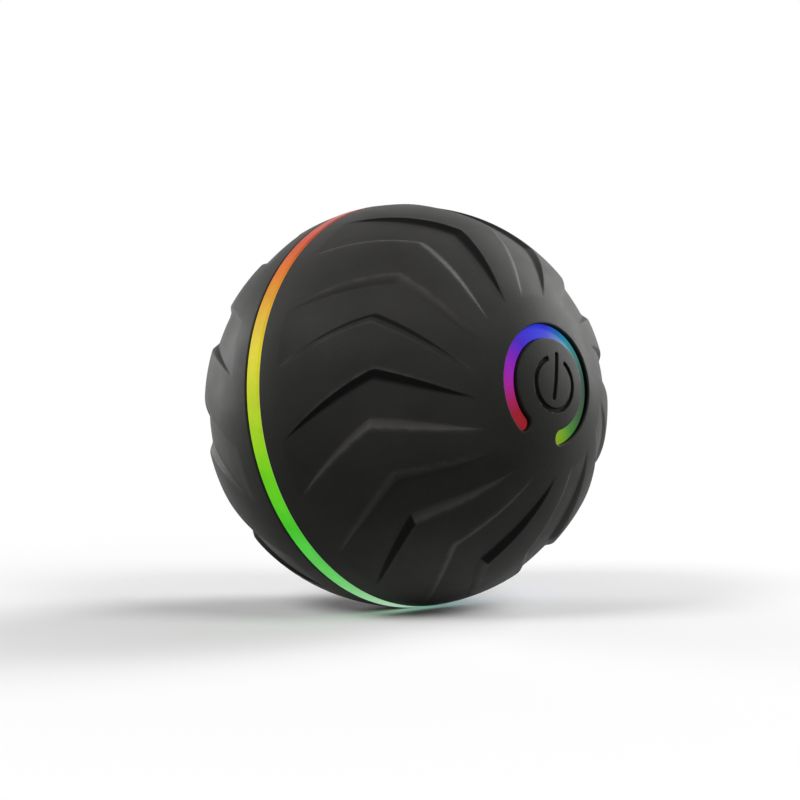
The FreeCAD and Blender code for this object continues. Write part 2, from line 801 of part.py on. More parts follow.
def weightShaft():
    """Round at both journals, with a flat where the gear and the weight sit."""
    low = clip_places[0] - shaft_end
    high = clip_places[1] + clip_thickness + shaft_end
    journals = rod(shaft_radius, low, layer_three)
    end = rod(shaft_radius, weight_high, high)
    shaft = joined([journals, flattedShaft(layer_three, weight_high), end])
    grooves = [tube(shaft_radius + past, shaft_radius - clip_groove, y, y + clip_thickness)
               for y in clip_places]
    return shaft.cut(grooves)


def shaftClips():
    """E-clips that keep the shaft in its bushes."""
    half = clip_mouth / 2
    clips = []
    for y in clip_places:
        ring = tube(clip_radius, shaft_radius - clip_groove, y, y + clip_thickness)
        clips.append(ring.cut(block(-half, half, y - past, y + past, 0, clip_radius + past)))
    return Part.makeCompound(clips)


def counterweight():
    """Steel sector that hangs below the shaft, with a round hub."""
    disc = rod(weight_radius, weight_low, weight_high)
    rims = [edge for edge in disc.Edges if edge.Closed]
    disc = disc.makeChamfer(weight_edge, rims)
    far = weight_radius * 2
    slant = radians((180 - weight_sector) / 2)
    side_x = far * cos(slant)
    side_z = -far * sin(slant)
    wedge = [(0, 0), (side_x, side_z), (side_x, -far), (-side_x, -far), (-side_x, side_z)]
    sector = disc.common(extruded(wedge, weight_low - past, weight_high + past))
    hub = rod(weight_hub_radius, weight_low, weight_high)
    return sector.fuse(hub).cut(flattedShaft(weight_low - past, weight_high + past))


def battery():
    """Flat cell standing on edge against the motor plate, beside the motor."""
    half = battery_thickness / 2
    long_half = battery_length / 2
    cell = block(battery_x - half, battery_x + half, plate_back - battery_width, plate_back,
                 -long_half, long_half)
    return cell.makeFillet(battery_edge, [e for e in cell.Edges if abs(e.tangentAt(0).z) > 0.9])


def batteryStrap():
    """Strap round the cell, fixed to the motor plate on both sides of it."""
    low = plate_back - battery_width
    half = battery_thickness / 2
    outer = half + strap_thickness
    z = strap_width / 2
    strap = block(battery_x - outer, battery_x + outer, low - strap_thickness, plate_back, -z, z)
    return strap.cut(block(battery_x - half, battery_x + half, low, plate_back + past,
                           -z - past, z + past))


def chargingPort():
    """Metal shell with its contact blade, standing on the small board."""
    floor = port_board_y + board_thickness
    cavity = portPrism(-port_wall, floor, port_mouth + past)
    half = port_blade_width / 2
    thick = port_blade_thickness / 2
    blade = block(-half, half, port_board_y, port_mouth - port_blade_inset, -thick, thick)
    return portPrism(0.0, port_board_y, port_mouth).cut(cavity).fuse(blade)


def chargingBoard():
    low = port_board_y - board_thickness
    deep = port_board_depth / 2
    board = block(-port_board_half, port_board_half, low, port_board_y, -deep, deep)
    board = board.makeFillet(port_board_corner,
                             [e for e in board.Edges if abs(e.tangentAt(0).y) > 0.9])
    return board.cut(rodsAt(port_posts, screw_radius, low - past, port_board_y + past))


def flatLead():
    """Flat lead between the boards: round the inside of the cups, then in to the port."""
    half = lead_width / 2
    inner = lead_outer - lead_thickness
    top = port_board_y - board_thickness
    ring = Part.makeCylinder(lead_outer, lead_width, V(0, 0, -half), zAxis)
    ring = ring.cut(Part.makeCylinder(inner, lead_width + 2 * past, V(0, 0, -half - past), zAxis))
    ring = ring.common(block(0, lead_outer, board_inner_y, top, -half, half))
    tail_start = port_board_half - lead_lap
    tail_end = sphereReach(inner, top - lead_thickness) + lead_thickness / 2
    tail = block(tail_start, tail_end, top - lead_thickness, top, -half, half)
    return joined([ring, tail])


def chargingPlug():
    """Soft stopper: a cap flush with the tread, a blade for the port and a captive stem."""
    cap_low = plug_seat + plug_seat_gap
    root = cap_low + plug_cap_thickness / 2
    cap = rod(plug_cap_radius, cap_low, ball_radius + past).common(Part.makeSphere(ball_radius))
    neck = portPrism(port_slot_clearance, port_mouth + port_wall, root)
    blade = portPrism(-port_wall - plug_clearance, port_mouth - plug_blade_length, root)
    half = port_blade_width / 2 + plug_clearance
    thick = port_blade_thickness / 2 + plug_clearance
    blade = blade.cut(block(-half, half, port_board_y, port_mouth, -thick, thick))
    place = V(0, 0, plug_stem_offset)
    bulb_high = sphereReach(cup_inner, plug_stem_offset + plug_bulb_radius) - plug_travel
    stem = rod(plug_stem_radius, bulb_high, root, place)
    bulb = rod(plug_bulb_radius, bulb_high - plug_bulb_length, bulb_high, place)
    return joined([cap, neck, blade, stem, bulb])


def main():
    os.makedirs("parts", exist_ok=True)
    half = coverHalf()
    save("tread_cover_button_side", coverButtonSide(half))
    save("tread_cover_charging_side", coverChargingSide(half))
    save("light_band", lightBand())
    save("inner_cup_button_side", cupButtonSide())
    save("inner_cup_charging_side", cupChargingSide())
    save("cup_screws", cupScrews())
    save("power_button", powerButton())
    save("button_light_arc", buttonLightArc())
    save("switch_body", switchBody())
    save("switch_plunger", switchPlunger())
    save("main_circuit_board", mainBoard())
    save("board_components", boardParts())
    save("board_screws", boardScrews())
    save("band_led_strip", bandLedStrip())
    save("flat_lead", flatLead())
    save("motor_plate", motorPlate())
    save("motor_plate_screws", motorPlateScrews())
    save("bearing_plate", bearingPlate())
    save("plate_pillars", platePillars())
    save("pillar_screws", pillarScrews())
    save("motor_side_bush", bush(plate_back, motor_plate_y))
    save("far_side_bush", bush(spider_low, spider_low - bush_flange_thickness))
    save("weight_shaft", weightShaft())
    save("shaft_clips", shaftClips())
    save("counterweight", counterweight())
    save("output_gear", outputGear())
    save("second_compound_gear", secondCompoundGear())
    save("first_compound_gear", firstCompoundGear())
    save("gear_pins", gearPins())
    save("motor_pinion", motorPinion())
    save("motor_shaft", motorShaft())
    save("motor_can", motorCan())
    save("motor_end_cap", motorEndCap())
    save("battery", battery())
    save("battery_strap", batteryStrap())
    save("charging_port", chargingPort())
    save("charging_board", chargingBoard())
    save("charging_plug", chargingPlug())


main()
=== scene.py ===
import json
from math import sin, cos, asin, sqrt, pi, radians, degrees
import bpy
import numpy as np
from mathutils import Matrix, Vector


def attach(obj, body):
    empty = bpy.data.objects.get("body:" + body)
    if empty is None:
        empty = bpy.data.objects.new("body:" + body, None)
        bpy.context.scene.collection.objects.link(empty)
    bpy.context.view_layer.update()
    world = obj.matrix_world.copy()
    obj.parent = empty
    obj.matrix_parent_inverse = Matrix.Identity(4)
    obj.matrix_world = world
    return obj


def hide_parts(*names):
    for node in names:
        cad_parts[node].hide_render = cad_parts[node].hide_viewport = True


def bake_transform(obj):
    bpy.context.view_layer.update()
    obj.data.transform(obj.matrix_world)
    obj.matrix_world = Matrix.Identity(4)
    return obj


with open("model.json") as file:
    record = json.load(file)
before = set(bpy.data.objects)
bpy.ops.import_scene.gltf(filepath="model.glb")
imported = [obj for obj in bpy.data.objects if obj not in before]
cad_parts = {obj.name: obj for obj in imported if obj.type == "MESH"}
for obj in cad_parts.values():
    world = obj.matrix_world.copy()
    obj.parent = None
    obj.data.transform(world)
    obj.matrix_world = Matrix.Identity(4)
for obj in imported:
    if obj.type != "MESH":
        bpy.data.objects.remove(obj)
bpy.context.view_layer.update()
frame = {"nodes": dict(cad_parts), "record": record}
print("frame loaded with", len(frame["nodes"]), "CAD nodes")

# The ball in millimetres and degrees. A place on it is given by its angle from the button's
# pole at -Y and its angle round the rolling axis, from +Z towards -X.
ball = {
    "radius": 38.0,
    "cupRadius": 34.8,
    "markAngle": -17.6,       # where the power mark points
}
millimetre = 0.001


def deselectAll():
    bpy.ops.object.select_all(action="DESELECT")


def pick(piece):
    deselectAll()
    piece.select_set(True)
    bpy.context.view_layer.objects.active = piece


def startEdit(action="SELECT", kind="VERT"):
    # edit mode on the active piece, with all or none of it selected
    bpy.ops.object.mode_set(mode="EDIT")
    bpy.ops.mesh.select_mode(type=kind)
    bpy.ops.mesh.select_all(action=action)


def endEdit():
    bpy.ops.object.mode_set(mode="OBJECT")


def newPiece(name):
    # the object that an operator has just made
    piece = bpy.context.object
    piece.name = piece.data.name = name
    return piece


def readPlaces(piece):
    flat = np.zeros(len(piece.data.vertices) * 3)
    piece.data.vertices.foreach_get("co", flat)
    return flat.reshape(-1, 3) / millimetre


def setPlaces(piece, places):
    piece.data.vertices.foreach_set("co", (places * millimetre).astype(np.float32).ravel())
    piece.data.update()


def paintValue(piece, name, values):
    layer = piece.data.attributes.new(name, "FLOAT", "POINT")
    layer.data.foreach_set("value", values.astype(np.float32))


def closeSeams(piece):
    # joins the places that meet, drops what hangs loose and turns every face outward
    pick(piece)
    startEdit()
    bpy.ops.mesh.remove_doubles(threshold=1e-6)
    bpy.ops.mesh.delete_loose()
    bpy.ops.mesh.select_all(action="SELECT")
    bpy.ops.mesh.normals_make_consistent(inside=False)
    endEdit()


def turned(name, outline, steps):
    # a closed outline of (distance from the axis, y) pairs, spun round the rolling axis
    deselectAll()
    bpy.ops.mesh.primitive_circle_add(vertices=len(outline), radius=millimetre)
    piece = newPiece(name)
    setPlaces(piece, np.array([(0.0, y, reach) for reach, y in outline]))
    startEdit()
    bpy.ops.mesh.spin(steps=steps, angle=2 * pi, center=(0, 0, 0), axis=(0, 1, 0))
    endEdit()
    closeSeams(piece)
    return piece


softEdge, firmEdge = 50, 35     # angles in degrees, below which two faces shade as one


def smoothShade(piece, angle):
    pick(piece)
    bpy.ops.object.shade_smooth_by_angle(angle=radians(angle))
    deselectAll()


def hand(piece, body, slotName, *nodes):
    # gives a finished piece to its body and hides the CAD nodes it stands for
    if body:
        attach(piece, body)
    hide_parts(*nodes)


# The slot round the button, where the light arc shows
lightSlot = {
    "middle": 9.725,          # from the axis to the middle of the slot
    "coverHalf": 1.335,       # half its width, towards the cover
    "buttonHalf": 1.375,      # and towards the button
    "gapHalfAngle": 29.0,
    "edgeRound": 0.3,
    "wallTop": 0.5,           # the cover's wall round it starts this far below the skin
}
holeReach = lightSlot["middle"] + lightSlot["coverHalf"]
padReach = lightSlot["middle"] - lightSlot["buttonHalf"]


def chord(radius, reach):
    # how far along the axis a sphere's skin is, at a distance from the axis
    return np.sqrt(radius ** 2 - reach ** 2)


def polar(places):
    # distance from the rolling axis, and angle round it
    x, z = places[..., 0], places[..., 2]
    return np.hypot(x, z), np.degrees(np.arctan2(-x, z))


def nearestTurn(angles):
    # the same angles, between -180 and 180
    return (angles + 180.0) % 360.0 - 180.0


def slotDistance(reach, angles, half):
    # how far a place on the button's side is from the C-shaped slot
    middle, gap = lightSlot["middle"], lightSlot["gapHalfAngle"]
    turn = np.abs(nearestTurn(angles - (180.0 + ball["markAngle"])))
    past = np.radians(np.minimum(turn - gap, 0.0))
    fromEnd = np.hypot(reach * np.sin(past), reach * np.cos(past) - middle)
    return np.where(turn > gap, np.abs(reach - middle), fromEnd) - half


def roundedEdge(distance, radius):
    # how far a rounded edge drops at a distance from it, and the most where that is negative
    inside = np.clip(radius - distance, 0.0, radius)
    return radius - np.sqrt(radius * radius - inside * inside)


# Tread covers: ten chevron grooves, which run out towards the pole and towards the band
tread = {
    "count": 10,
    "depth": 0.95,
    "wallRun": 1.6,           # how far a wall slopes sideways over the full depth
    "grooveShare": 0.533,
    "firstApex": 52.2,
    "secondApex": 54.8,
    # each arm's end, how far it trails there, what share of a pitch it gains and how it bends, and
    # which wall of each groove gets painted shade: the first, the second or its thin foot; N is
    # none
    "pole": {"end": 25.5, "sweep": 15.0, "widening": 0.03, "bend": 0.5, "dark": "FFTFNSNFTF"},
    "band": {"end": 80.5, "sweep": 18.5, "widening": -0.083, "bend": 0.0, "dark": "FFTFSNNFTF"},
    "bendPower": 2.5,
    "footFade": 0.55,         # how dark the painted shade is on the rest of a wall with a shaded foot
    # reach of each painted shade and painted light mark: past the lug's edge in mm, then its end
    # and its fade in shares of the wall
    "firstWallShade": (0.04, 1.3, 0.6),
    "secondWallShade": (0.28, 1.1, 0.25),
    "footShade": (-0.45, 1.15, 0.25),
    "paintedWallLight": (0.0, 1.1, 0.7),
    "markFade": 0.1,
    "markDepth": 0.3,         # grooves shallower than this have weaker marks
    "wearAndGlintReach": 0.45,        # how far a lug's worn edge with its painted highlight shows
    "edgeSoftness": 0.2,      # rounding of the grooves' edges
    "apexSoftness": 0.02,
    "thinnestWall": 0.3,
    "rowStep": 0.45,
    "holeSteps": (0.0, 0.04, 0.1, 0.17, 0.25, 0.36, 0.6, 1.0, 1.5),
    "lugSteps": (0.9, 0.5, 0.22, 0.08),
    "wallShares": (0.0, 0.1, 0.3, 0.5, 0.7, 0.9, 1.0),
    "floorSteps": (0.12, 0.3, 0.6),
    "floorColumns": 5,
    "lugColumns": 7,
    "narrowRing": 24.0,       # the column steps shrink on rings smaller than this
}
treadMiddle = (tread["firstApex"] + tread["secondApex"]) / 2
rim = {
    "face": 1.77,             # from the seam to the cover's rim
    "faceSteps": (36.9, 35.9),
    "edgeRound": 0.35,
    "edgeTurns": (0, 20, 40, 60, 75, 90),
    "beadStart": 3.8,
    "beadEnd": 5.4,
    "beadReach": 34.1,
    "innerAngles": (76, 24),  # the cover's inside, from the bead to the hole
    "innerRows": 7,
}


def floorDepth(colatitude):
    # depth of the groove floor, a circle that meets the ball at both ends of the tread
    radius = ball["radius"]
    deepest = radius - tread["depth"]
    low, high = tread["pole"]["end"], tread["band"]["end"]
    middle = (low + high) / 2
    reach = cos(radians((high - low) / 2))
    shift = (deepest ** 2 - radius ** 2) / (2 * (deepest - radius * reach))
    circle = deepest - shift
    turn = np.radians(colatitude - middle)
    floor = shift * np.cos(turn) + np.sqrt(circle ** 2 - (shift * np.sin(turn)) ** 2)
    return np.maximum(radius - floor, 0.0)


def pitchColumns(ring, run, widening=0.0):
    # places of the columns of one pitch, in mm round a ring from the groove's first edge
    pitch = 2 * pi * ring / tread["count"]
    width = pitch * (tread["grooveShare"] + widening)
    near = min(1.0, ring / tread["narrowRing"])
    wall = max(run, tread["thinnestWall"] * near)
    lug = np.array(tread["lugSteps"]) * near
    shares = np.array(tread["wallShares"]) * wall
    floor = wall + np.array(tread["floorSteps"]) * near
    floorMiddle = np.linspace(floor[-1], width - floor[-1], tread["floorColumns"] + 2)[1:-1]
    lugMiddle = np.linspace(width + lug[0], pitch - lug[0], tread["lugColumns"] + 2)[1:-1]
    columns = np.concatenate([-lug, shares, floor, floorMiddle, width - floor[::-1],
                              width - shares[::-1], width + lug[::-1], lugMiddle])
    return columns, width, pitch


def wallFall(distance, run):
    # a sloping wall with both edges rounded
    soft = tread["edgeSoftness"]
    high = (distance + np.sqrt(distance ** 2 + soft ** 2)) / 2
    low = (distance - run + np.sqrt((distance - run) ** 2 + soft ** 2)) / 2
    return tread["depth"] / tread["wallRun"] * (high - low)


def wallMask(distance, run, depth, mark):
    # the mask for a wall's painted shade and painted light: 1 on a wall, from a little past the
    # lug's edge, fading towards the floor
    past, floorShare, softShare = tread[mark]
    wall = np.maximum(run, tread["thinnestWall"])
    fromEdge = np.clip((distance + past) / tread["markFade"], 0.0, 1.0)
    toFloor = np.clip((wall * floorShare - distance) / (wall * softShare), 0.0, 1.0)
    return fromEdge * toFloor * np.clip(depth / tread["markDepth"], 0.0, 1.0)


def wallMarks(columns, width, run, depth, shadedWalls):
    # painted shade and painted light masks over all pitches of a ring
    fromSecond = width - columns
    dark = {"F": wallMask(columns, run, depth, "firstWallShade"),
            "S": wallMask(fromSecond, run, depth, "secondWallShade"),
            "N": np.zeros_like(columns)}
    foot = wallMask(fromSecond, run, depth, "footShade")
    dark["T"] = np.maximum(foot, tread["footFade"] * dark["S"])
    # painted light on the walls that get no painted shade
    firstPale = wallMask(columns, run, depth, "paintedWallLight")
    secondPale = wallMask(fromSecond, run, depth, "paintedWallLight")
    pale = {"F": secondPale, "S": firstPale, "T": firstPale, "N": firstPale + secondPale}
    return (np.concatenate([dark[letter] for letter in shadedWalls]),
            np.concatenate([pale[letter] for letter in shadedWalls]))


def apexOfColumns():
    # angle from the pole at which each column of a pitch has its apex
    ring = ball["radius"] * sin(radians(tread["firstApex"]))
    columns, width, pitch = pitchColumns(ring, tread["wallRun"])
    inGroove = columns / width
    onLug = 1 - (columns - width) / (pitch - width)
    beforeGroove = -columns / (pitch - width)
    share = np.where(columns < 0, beforeGroove, np.where(columns > width, onLug, inGroove))
    return tread["firstApex"] + (tread["secondApex"] - tread["firstApex"]) * share


def treadRing(base, apexes):
    # one row of the tread: angles from the pole and round the axis, how far it falls, and its marks
    # of edge wear with painted highlights, painted wall shade and painted wall light
    arm = tread["band"] if base > treadMiddle else tread["pole"]
    end, bend = arm["end"], arm["bend"]
    share = (base - treadMiddle) / (end - treadMiddle)
    onTread = share < 1
    colatitude = apexes + (end - apexes) * share if onTread else np.full_like(apexes, base)
    soft = tread["apexSoftness"]
    eased = (sqrt(min(share, 1) ** 2 + soft ** 2) - soft) / (sqrt(1 + soft ** 2) - soft)
    depth = floorDepth(colatitude) if onTread else np.zeros_like(apexes)
    run = depth * tread["wallRun"] / tread["depth"]
    ring = ball["radius"] * sin(radians(float(np.mean(colatitude))))
    columns, width, pitch = pitchColumns(ring, float(np.mean(run)), arm["widening"] * eased)
    fall = np.minimum(wallFall(columns, run), wallFall(width - columns, run))
    wearAndLight = tread["wearAndGlintReach"]
    edge = np.maximum(np.exp(-(columns / wearAndLight) ** 2), np.exp(-((columns - width) / wearAndLight) ** 2))
    trail = arm["sweep"] * ((1 - bend) * eased + bend * eased ** tread["bendPower"])
    start = trail - 180 * tread["grooveShare"] / tread["count"]
    angles = ball["markAngle"] + start + np.degrees(columns / ring)
    # painted shade on the chosen walls, painted light on the others
    dark, pale = wallMarks(columns, width, run, depth, arm["dark"])
    turns = np.repeat(np.arange(tread["count"]) * 360.0 / tread["count"], len(columns))
    colatitude, angles, fall, edge = (np.tile(row, tread["count"])
                                      for row in (colatitude, angles, fall, edge * depth))
    # lug edges: wear with a painted highlight, left out where painted shade lies
    marks = {"lugEdgeWearAndGlint": edge * (1 - dark) / tread["depth"], "paintedWallShade": dark, "paintedWallLight": pale}
    return colatitude, angles + turns, fall, marks


def coverRows(base):
    # angles from the pole of the cover's rows, closer together at its hole
    start = [base + degrees(step / ball["radius"]) for step in tread["holeSteps"]]
    step = degrees(tread["rowStep"] / ball["radius"])
    tail = 90 - degrees(asin((rim["face"] + rim["edgeRound"]) / ball["radius"]))

    def spaced(low, high):
        return list(np.linspace(low, high, max(2, round((high - low) / step)) + 1))

    ends = [start[-1], tread["pole"]["end"], treadMiddle, tread["band"]["end"], tail]
    return start + [angle for low, high in zip(ends, ends[1:]) for angle in spaced(low, high)[1:]]


def ringPlaces(reach, y, angles):
    turn = np.radians(angles)
    return np.stack([-reach * np.sin(turn), y + 0 * turn, reach * np.cos(turn)], axis=-1)


def spherePlaces(colatitude, angles, radius):
    tilt = np.radians(colatitude)
    return ringPlaces(radius * np.sin(tilt), -radius * np.cos(tilt), angles)


def rimRings():
    # the rounded edge of the rim, its flat face and the inside down to the bead
    face, edge, cup = rim["face"], rim["edgeRound"], ball["cupRadius"]
    beadStart, beadEnd, beadReach = rim["beadStart"], rim["beadEnd"], rim["beadReach"]
    outer = chord(ball["radius"], face)
    rings = [(outer - edge + edge * cos(radians(turn)), -face - edge + edge * sin(radians(turn)))
             for turn in rim["edgeTurns"]]
    rings += [(reach, -face) for reach in (*rim["faceSteps"], chord(cup, face))]
    rings += [(chord(cup, beadStart), -beadStart), (beadReach, -beadStart),
              (beadReach, -beadEnd), (chord(cup, beadEnd), -beadEnd)]
    return rings


def treadCover(name, holeAt, dropAt, insideRings):
    # the whole cover, with its hole, its rounded edges and its inside
    apexes = apexOfColumns()
    radius, poleEnd = ball["radius"], tread["pole"]["end"]
    base = degrees(asin(float(np.mean(holeAt(np.linspace(0, 359, 360)))) / radius))
    outline, rows = [], []
    marks = {"lugEdgeWearAndGlint": [], "paintedWallShade": [], "paintedWallLight": []}

    def addRing(reach, y, places, ringMarks=None):
        outline.append((reach, y))
        rows.append(places)
        for label, kept in marks.items():
            kept.append(ringMarks[label] if ringMarks else np.zeros(len(places)))

    for angle in coverRows(base):
        colatitude, angles, fall, ringMarks = treadRing(angle, apexes)
        if angle < poleEnd:
            share = (angle - base) / (poleEnd - base)
            hole = np.degrees(np.arcsin(holeAt(angles) / radius))
            colatitude = hole + (poleEnd - hole) * share
        drop = fall + dropAt(spherePlaces(colatitude, angles, radius))
        addRing(radius * sin(radians(angle)), -radius * cos(radians(angle)),
                spherePlaces(colatitude, angles, radius - drop), ringMarks)
        if len(rows) == 1:
            holeAngles = angles
    rimAngles = angles
    for reach, y in rimRings():
        addRing(reach, y, ringPlaces(reach, y, rimAngles))
    for count, angle in enumerate(np.linspace(*rim["innerAngles"], rim["innerRows"])):
        share = count / (rim["innerRows"] - 1)
        angles = rimAngles * (1 - share) + holeAngles * share
        reach, y = ball["cupRadius"] * sin(radians(angle)), -ball["cupRadius"] * cos(radians(angle))
        addRing(reach, y, ringPlaces(reach, y, angles))
    for reach, y in insideRings(holeAngles):
        addRing(float(np.mean(reach)), float(np.mean(y)), ringPlaces(reach, y, holeAngles))

    # the spun outline gives the faces; each vertex then takes the place of its row and column
    columns = len(rimAngles)
    piece = turned(name, outline, columns)
    places = readPlaces(piece)
    reach, around = polar(places)
    column = np.round(around % 360 * columns / 360).astype(int) % columns
    section = np.stack([reach, places[:, 1]], axis=-1)
    corners = np.array(outline)
    row = np.array([np.argmin(np.sum((corners - one) ** 2, axis=1)) for one in section])
    setPlaces(piece, np.array(rows)[row, column])
    for label, kept in marks.items():
        paintValue(piece, label, np.array(kept)[row, column])
    return piece


# Painted shade: what lies deep beside the light ring or in the slot round the button is painted
# darker
hollow = {"bandHalf": 2.4, "buttonReach": 12.6, "start": 0.12, "fade": 0.3}


def paintHollowShade(piece):
    places = readPlaces(piece)
    depth = ball["radius"] - np.sqrt(np.sum(places ** 2, axis=1))
    nearBand = np.abs(places[:, 1]) < hollow["bandHalf"]
    nearButton = (polar(places)[0] < hollow["buttonReach"]) & (places[:, 1] < 0)
    amount = np.clip((depth - hollow["start"]) / hollow["fade"], 0.0, 1.0)
    paintValue(piece, "hollowShade", np.where(nearBand | nearButton, amount, 0.0))


def buttonHole(angles):
    return np.full_like(angles, holeReach)


def buttonHoleDrop(places):
    distance = slotDistance(*polar(places), lightSlot["coverHalf"])
    return roundedEdge(distance, lightSlot["edgeRound"])


def buttonHoleInside(angles):
    # a plain round wall, the same at all angles
    top, low = chord(ball["radius"], holeReach), chord(ball["cupRadius"], holeReach)
    return [(holeReach, y) for y in (-low, -(low + top) / 2, lightSlot["wallTop"] - top)]


def finishCover(cover, node):
    paintHollowShade(cover)
    smoothShade(cover, softEdge)
    hand(cover, "shell", "cover_rubber", node)
    print(cover.name + ":", len(cover.data.polygons), "faces")


buttonCover = treadCover("treadCoverButtonSide", buttonHole, buttonHoleDrop, buttonHoleInside)
finishCover(buttonCover, "tread_cover_button_side")

# The other cover has a recess for the stopper, with a fingernail notch and the port's slot
stopperRecess = {
    "reach": 7.72,
    "floor": 35.73,
    "notchPlace": 7.6,
    "notchRadius": 1.6,
    "edgeRound": 0.25,
    "slotHalfLength": 5.02,
    "slotHalfHeight": 2.18,
    "backReach": 8.5,         # the cover's inside has rows from the slot out to about here
    "backShare": 0.6,
    "floorShares": (0.35, 0.7, 1.0),
    "wallShares": (0.4, 0.75),
}


def stopperHole(angles):
    # the recess, with the notch's round outline where that reaches further out
    turn = np.radians(nearestTurn(angles - 180.0))
    side = stopperRecess["notchPlace"] * np.sin(turn)
    room = np.maximum(stopperRecess["notchRadius"] ** 2 - side ** 2, 0.0)
    notch = stopperRecess["notchPlace"] * np.cos(turn) + np.sqrt(room)
    inNotch = (room > 0) & (np.cos(turn) > 0)
    return np.where(inNotch, np.maximum(notch, stopperRecess["reach"]), stopperRecess["reach"])


def stopperHoleDrop(places):
    reach, angles = polar(places)
    return roundedEdge(reach - stopperHole(angles), stopperRecess["edgeRound"])


def portSlot(angles):
    # distance from the axis to the slot's outline, a rectangle with round ends along X
    turn = np.radians(angles)
    wide, high = np.abs(np.sin(turn)), np.abs(np.cos(turn))
    half = stopperRecess["slotHalfHeight"]
    middle = stopperRecess["slotHalfLength"] - half
    straight = half / np.maximum(high, 1e-6)
    end = middle * wide + np.sqrt(np.maximum(half ** 2 - (middle * high) ** 2, 0.0))
    return np.where(straight * wide <= middle, straight, end)


def stopperInside(angles):
    # from the cover's inside through the port's slot, over the recess's floor and up its wall
    slot, hole = portSlot(angles), stopperHole(angles)
    back = slot + (stopperRecess["backReach"] - slot) * stopperRecess["backShare"]
    floor = np.full_like(angles, -stopperRecess["floor"])
    rings = [(reach, -chord(ball["cupRadius"], reach)) for reach in (back, slot)]
    rings += [(slot, floor)]
    rings += [(slot + (hole - slot) * share, floor) for share in stopperRecess["floorShares"]]
    top = chord(ball["radius"], hole)
    rings += [(hole, floor - (top + floor) * share) for share in stopperRecess["wallShares"]]
    return rings


chargingCover = treadCover("treadCoverChargingSide", stopperHole, stopperHoleDrop, stopperInside)
setPlaces(chargingCover, readPlaces(chargingCover) * (1, -1, 1))     # to the other side
closeSeams(chargingCover)
finishCover(chargingCover, "tread_cover_charging_side")

# Button skin: the pad and the bridge that joins it to the cover, with the power mark pressed in
buttonSkin = {
    "rings": 82,
    "padColumns": 402,
    "bridgeColumns": 78,
    "bridgeRings": 27,
    "ringPower": 1.15,        # above 1 the rings are closer together at the pad's edge
    "thickness": 1.3,
}
powerMark = {
    "x": 0.40,
    "z": 0.0,
    "ring": 4.75,
    "line": 0.82,
    "gapMiddle": -13.2,
    "gapHalfAngle": 29.8,
    "barTop": (1.79, 5.29),
    "barFoot": (-0.24, -2.45),
    "endDot": 0.42,           # radius of the round end of the ring
    "depth": 0.4,
    "wall": 0.14,
}


def markDistance(x, z):
    # distance to the nearest line of the power mark
    x, z = x - powerMark["x"], z - powerMark["z"]
    size, gap, halfLine = powerMark["ring"], powerMark["gapHalfAngle"], powerMark["line"] / 2
    turn = nearestTurn(np.degrees(np.arctan2(-x, z)) - powerMark["gapMiddle"])
    ring = np.abs(np.hypot(x, z) - size) - halfLine

    def endDistance(side):
        angle = radians(powerMark["gapMiddle"] + side * gap)
        return np.hypot(x + size * sin(angle), z - size * cos(angle))

    ends = np.minimum(endDistance(1) - powerMark["endDot"], endDistance(-1) - halfLine)
    ring = np.where(np.abs(turn) > gap, np.minimum(ring, ends), ends)
    (topX, topZ), (footX, footZ) = ((end[0] - powerMark["x"], end[1] - powerMark["z"])
                                    for end in (powerMark["barTop"], powerMark["barFoot"]))
    runX, runZ = topX - footX, topZ - footZ
    share = ((x - footX) * runX + (z - footZ) * runZ) / (runX ** 2 + runZ ** 2)
    share = np.clip(share, 0.0, 1.0)
    bar = np.hypot(x - footX - runX * share, z - footZ - runZ * share) - halfLine
    return np.minimum(ring, bar)


def gridPiece(name, columns, rows):
    # a flat grid, with each vertex's share of the way across and along it
    deselectAll()
    bpy.ops.mesh.primitive_grid_add(x_subdivisions=columns, y_subdivisions=rows, size=2)
    piece = newPiece(name)
    places = readPlaces(piece) * millimetre
    across, along = (places[:, 0] + 1) / 2, (places[:, 1] + 1) / 2
    return piece, across, along


def placeOnSkin(piece, reach, angles):
    # lays a grid on the button's skin, with the slot's rounded edge and the pressed-in mark
    turn = np.radians(angles)
    x, z = -reach * np.sin(turn), reach * np.cos(turn)
    distance = slotDistance(reach, angles, lightSlot["buttonHalf"])
    edge = roundedEdge(distance, lightSlot["edgeRound"])
    inMark = np.clip(0.5 - markDistance(x, z) / powerMark["wall"], 0.0, 1.0)
    inMark = inMark * inMark * (3 - 2 * inMark)
    y = -chord(ball["radius"], reach) + edge + powerMark["depth"] * inMark
    setPlaces(piece, np.stack([x, y, z], axis=-1))
    # the same share paints shade into the pressed-in mark
    paintValue(piece, "inMark", inMark)


def padPiece():
    # columns of the pad are even on the bridge and even round the rest
    padColumns, bridgeColumns = buttonSkin["padColumns"], buttonSkin["bridgeColumns"]
    columns = padColumns + bridgeColumns
    piece, across, along = gridPiece("buttonPad", columns, buttonSkin["rings"])
    number = across * columns
    half = lightSlot["gapHalfAngle"]
    onBridge = -half + 2 * half * number / bridgeColumns
    rest = half + (360 - 2 * half) * (number - bridgeColumns) / padColumns
    angles = 180.0 + ball["markAngle"] + np.where(number <= bridgeColumns, onBridge, rest)
    placeOnSkin(piece, padReach * (1 - (1 - along) ** buttonSkin["ringPower"]), angles)
    return piece


def bridgePiece():
    # narrows between the round ends of the slot
    piece, across, along = gridPiece("buttonBridge", buttonSkin["bridgeColumns"],
                                     buttonSkin["bridgeRings"])
    reach = padReach + (holeReach - padReach) * along
    middle, half = lightSlot["middle"], lightSlot["buttonHalf"]
    closeness = (reach ** 2 + middle ** 2 - half ** 2) / (2 * reach * middle)
    width = lightSlot["gapHalfAngle"] - np.degrees(np.arccos(np.minimum(closeness, 1.0)))
    placeOnSkin(piece, reach, 180.0 + ball["markAngle"] + (2 * across - 1) * width)
    return piece


